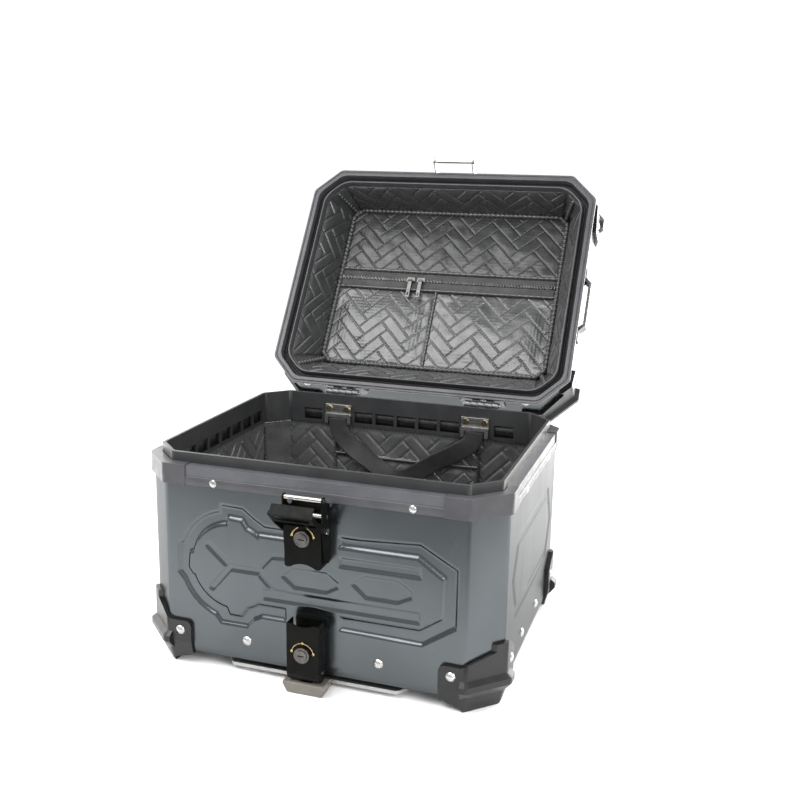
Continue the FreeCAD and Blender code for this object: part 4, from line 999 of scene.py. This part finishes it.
def dot_mark(x, z, y, radius, sides=14):
    angles = 2 * math.pi * np.arange(sides) / sides
    points = [(x + radius * math.cos(a), y + 0.15 - d, z + radius * math.sin(a))
              for d in (0.0, 0.4) for a in angles]
    faces = [(k, (k + 1) % sides, sides + (k + 1) % sides, sides + k) for k in range(sides)]
    return points, faces + [tuple(range(sides - 1, -1, -1)), tuple(range(sides, 2 * sides))]


def build_lock_marks():
    """Gold turn marks round the two keys."""
    y = LATCH_FRONT_Y
    parts = [ring_mark(UPPER_KEY_Z, y, 12.3, 13.1, s * 22, s * 74, 0.55) for s in (-1, 1)]
    a = math.radians(78)
    parts += [dot_mark(s * 12.7 * math.sin(a), UPPER_KEY_Z + 12.7 * math.cos(a), y, 1.5) for s in (-1, 1)]
    points, faces = joined(parts)
    piece("upper_lock_marks", feet(points), faces, "upper_lever", "screw_brass", (), "gold_mark")
    y = LOW_FRONT_Y
    parts = [ring_mark(LOWER_KEY_Z, y, 12.5, 13.3, -76, 76, 0.0, 40)]
    for a in map(math.radians, (-80, 0, 80)):
        parts.append(dot_mark(12.9 * math.sin(a), LOWER_KEY_Z + 12.9 * math.cos(a), y, 1.6))
    points, faces = joined(parts)
    piece("lower_lock_marks", feet(points), faces, "lower_lever", "screw_brass", (), "gold_mark")


# ---- CAD nodes ----
def soften(node, width):
    """Small real bevel, in millimetres, on a CAD node's hard edges."""
    node.modifiers.new("weld", "WELD").merge_threshold = 2e-6
    bevel = node.modifiers.new("edge", "BEVEL")
    bevel.width = width * MM
    bevel.segments = 2
    bevel.limit_method = "ANGLE"
    bevel.angle_limit = math.radians(32)
    bevel.harden_normals = True
    bevel.use_clamp_overlap = True


# bevel widths in millimetres, and how the names of their nodes begin
SOFT_EDGES = {
    0.55: ("case_rim", "rim_sleeves", "foot_block"),
    0.8: ("corner_guard_", "lid_corner_guards"),
    0.35: ("upper_latch_", "lower_latch_", "tie_rails", "strap_loops", "striker_bracket", "strap_plates",
           "release_plate"),
    0.2: ("upper_key_", "lower_key_", "strap_screws", "striker_pin", "hinge_case_", "hinge_lid_", "zip_"),
}


def dress_cad_nodes():
    """Finishes on the CAD nodes, named by their slots, and soft edges on those that stay in sight."""
    for name, node in NODES.items():
        for slot in node.material_slots:
            slot_name = slot.material.name.split(".")[0]
            slot.material = FINISHES[OWN_FINISH.get(name, slot_name)].material
        for width, starts in SOFT_EDGES.items():
            if name.startswith(starts):
                soften(node, width)


# ---- room, lights, camera ----
AHEAD = (-0.308, 0.951, 0)                  # level direction from the camera to the case


def pale_floor():
    """Round white floor that turns grey well in front of the case, which darkens the walls' reflections."""
    radius, sides, z = 1.9, 96, FEET_Z * MM
    mesh = bpy.data.meshes.new("floor")
    rim = [(radius * math.cos(2 * math.pi * k / sides), radius * math.sin(2 * math.pi * k / sides), z)
           for k in range(sides)]
    mesh.from_pydata(rim, [], [tuple(range(sides))])
    f = Finish("pale_floor", Roughness=0.95, Specular_IOR_Level=0.05)
    ahead = f.node("VectorMath", {0: f.place, 1: AHEAD}, operation="DOT_PRODUCT").outputs["Value"]
    f.colour(ahead, (0.24, 0.24, 0.24), (0.95, 0.95, 0.95), -0.72, -0.37)
    mesh.materials.append(f.material)
    placed("floor", mesh)


def aim(made, place, turn):
    made.location = place
    made.rotation_mode = "QUATERNION"
    made.rotation_quaternion = turn


def softbox(name, place, target, width, height, power, colour=(1, 1, 1)):
    """Rectangular panel lamp that the camera doesn't see."""
    light = bpy.data.lights.new(name, "AREA")
    light.shape = "RECTANGLE"
    light.size, light.size_y = width, height
    light.energy = power
    light.color = colour
    made = placed(name, light)
    aim(made, place, (Vector(target) - Vector(place)).to_track_quat("-Z", "Y"))
    made.visible_camera = False


WORLD_TONES = ((0.0, (0.85, 0.855, 0.86, 1)), (0.27, (0.40, 0.405, 0.41, 1)), (0.62, (1.06, 1.06, 1.06, 1)))
WARM = (1.0, 0.985, 0.955)


def light_studio():
    """White tent that is bright overhead and behind the case and darker in front of it, with soft panels."""
    world = bpy.data.worlds.new("studio")
    world.use_nodes = True
    tree = world.node_tree
    direction = add_node(tree, "SeparateXYZ", {0: add_node(tree, "TexCoord", {}).outputs["Generated"]})
    share = add_node(tree, "MapRange", {"Value": direction.outputs["Y"], "From Min": -1.0}).outputs[0]
    ramp = add_node(tree, "ValToRGB", {"Fac": share})
    stops = ramp.color_ramp.elements
    stops.new(WORLD_TONES[1][0])
    for stop, (position, colour) in zip(stops, WORLD_TONES):
        stop.position, stop.color = position, colour
    background = next(n for n in tree.nodes if n.type == "BACKGROUND")
    tree.links.new(ramp.outputs["Color"], background.inputs["Color"])
    bpy.context.scene.world = world
    softbox("key_above", (-0.78, -1.15, 1.95), (0, 0.1, 0.3), 2.4, 1.15, 60)
    softbox("left_panel", (-0.95, 0.25, 0.42), (0, 0.0, 0.12), 1.3, 0.9, 9, WARM)
    softbox("behind_right", (0.75, 0.95, 0.45), (0.2, 0.0, 0.12), 1.3, 0.9, 25, WARM)
    softbox("overhead", (0.0, 0.6, 2.3), (0, 0, 0.2), 1.8, 0.9, 16)
    softbox("fill_right", (1.45, -1.15, 1.0), (0, 0.1, 0.25), 0.9, 0.9, 26)


def place_camera():
    """Camera above and to the right of the front, turned a degree about its own line of sight."""
    azimuth, elevation, roll = math.radians(17.93), math.radians(13.58), math.radians(1.04)
    forward = Vector((-math.sin(azimuth) * math.cos(elevation), math.cos(azimuth) * math.cos(elevation),
                      -math.sin(elevation)))
    camera = bpy.data.cameras.new("camera")
    camera.sensor_width = 36.0
    camera.lens = 46.355
    made = placed("camera", camera)
    aim(made, (0.4125, -1.1423, 0.5802), Quaternion(forward, -roll) @ forward.to_track_quat("-Z", "Y"))
    bpy.context.scene.camera = made


bpy.context.scene.view_settings.view_transform = "Standard"
for build in (dress_cad_nodes, build_case_wall, build_case_rim, build_lid_rim, build_case_lining,
              build_floor_mat, build_rear_pocket, build_case_seams, build_strap, build_lid_walls,
              build_lid_panels, build_lid_seams, build_zip_tape, build_zip_teeth, build_lock_marks,
              pale_floor, light_studio, place_camera):
    build()
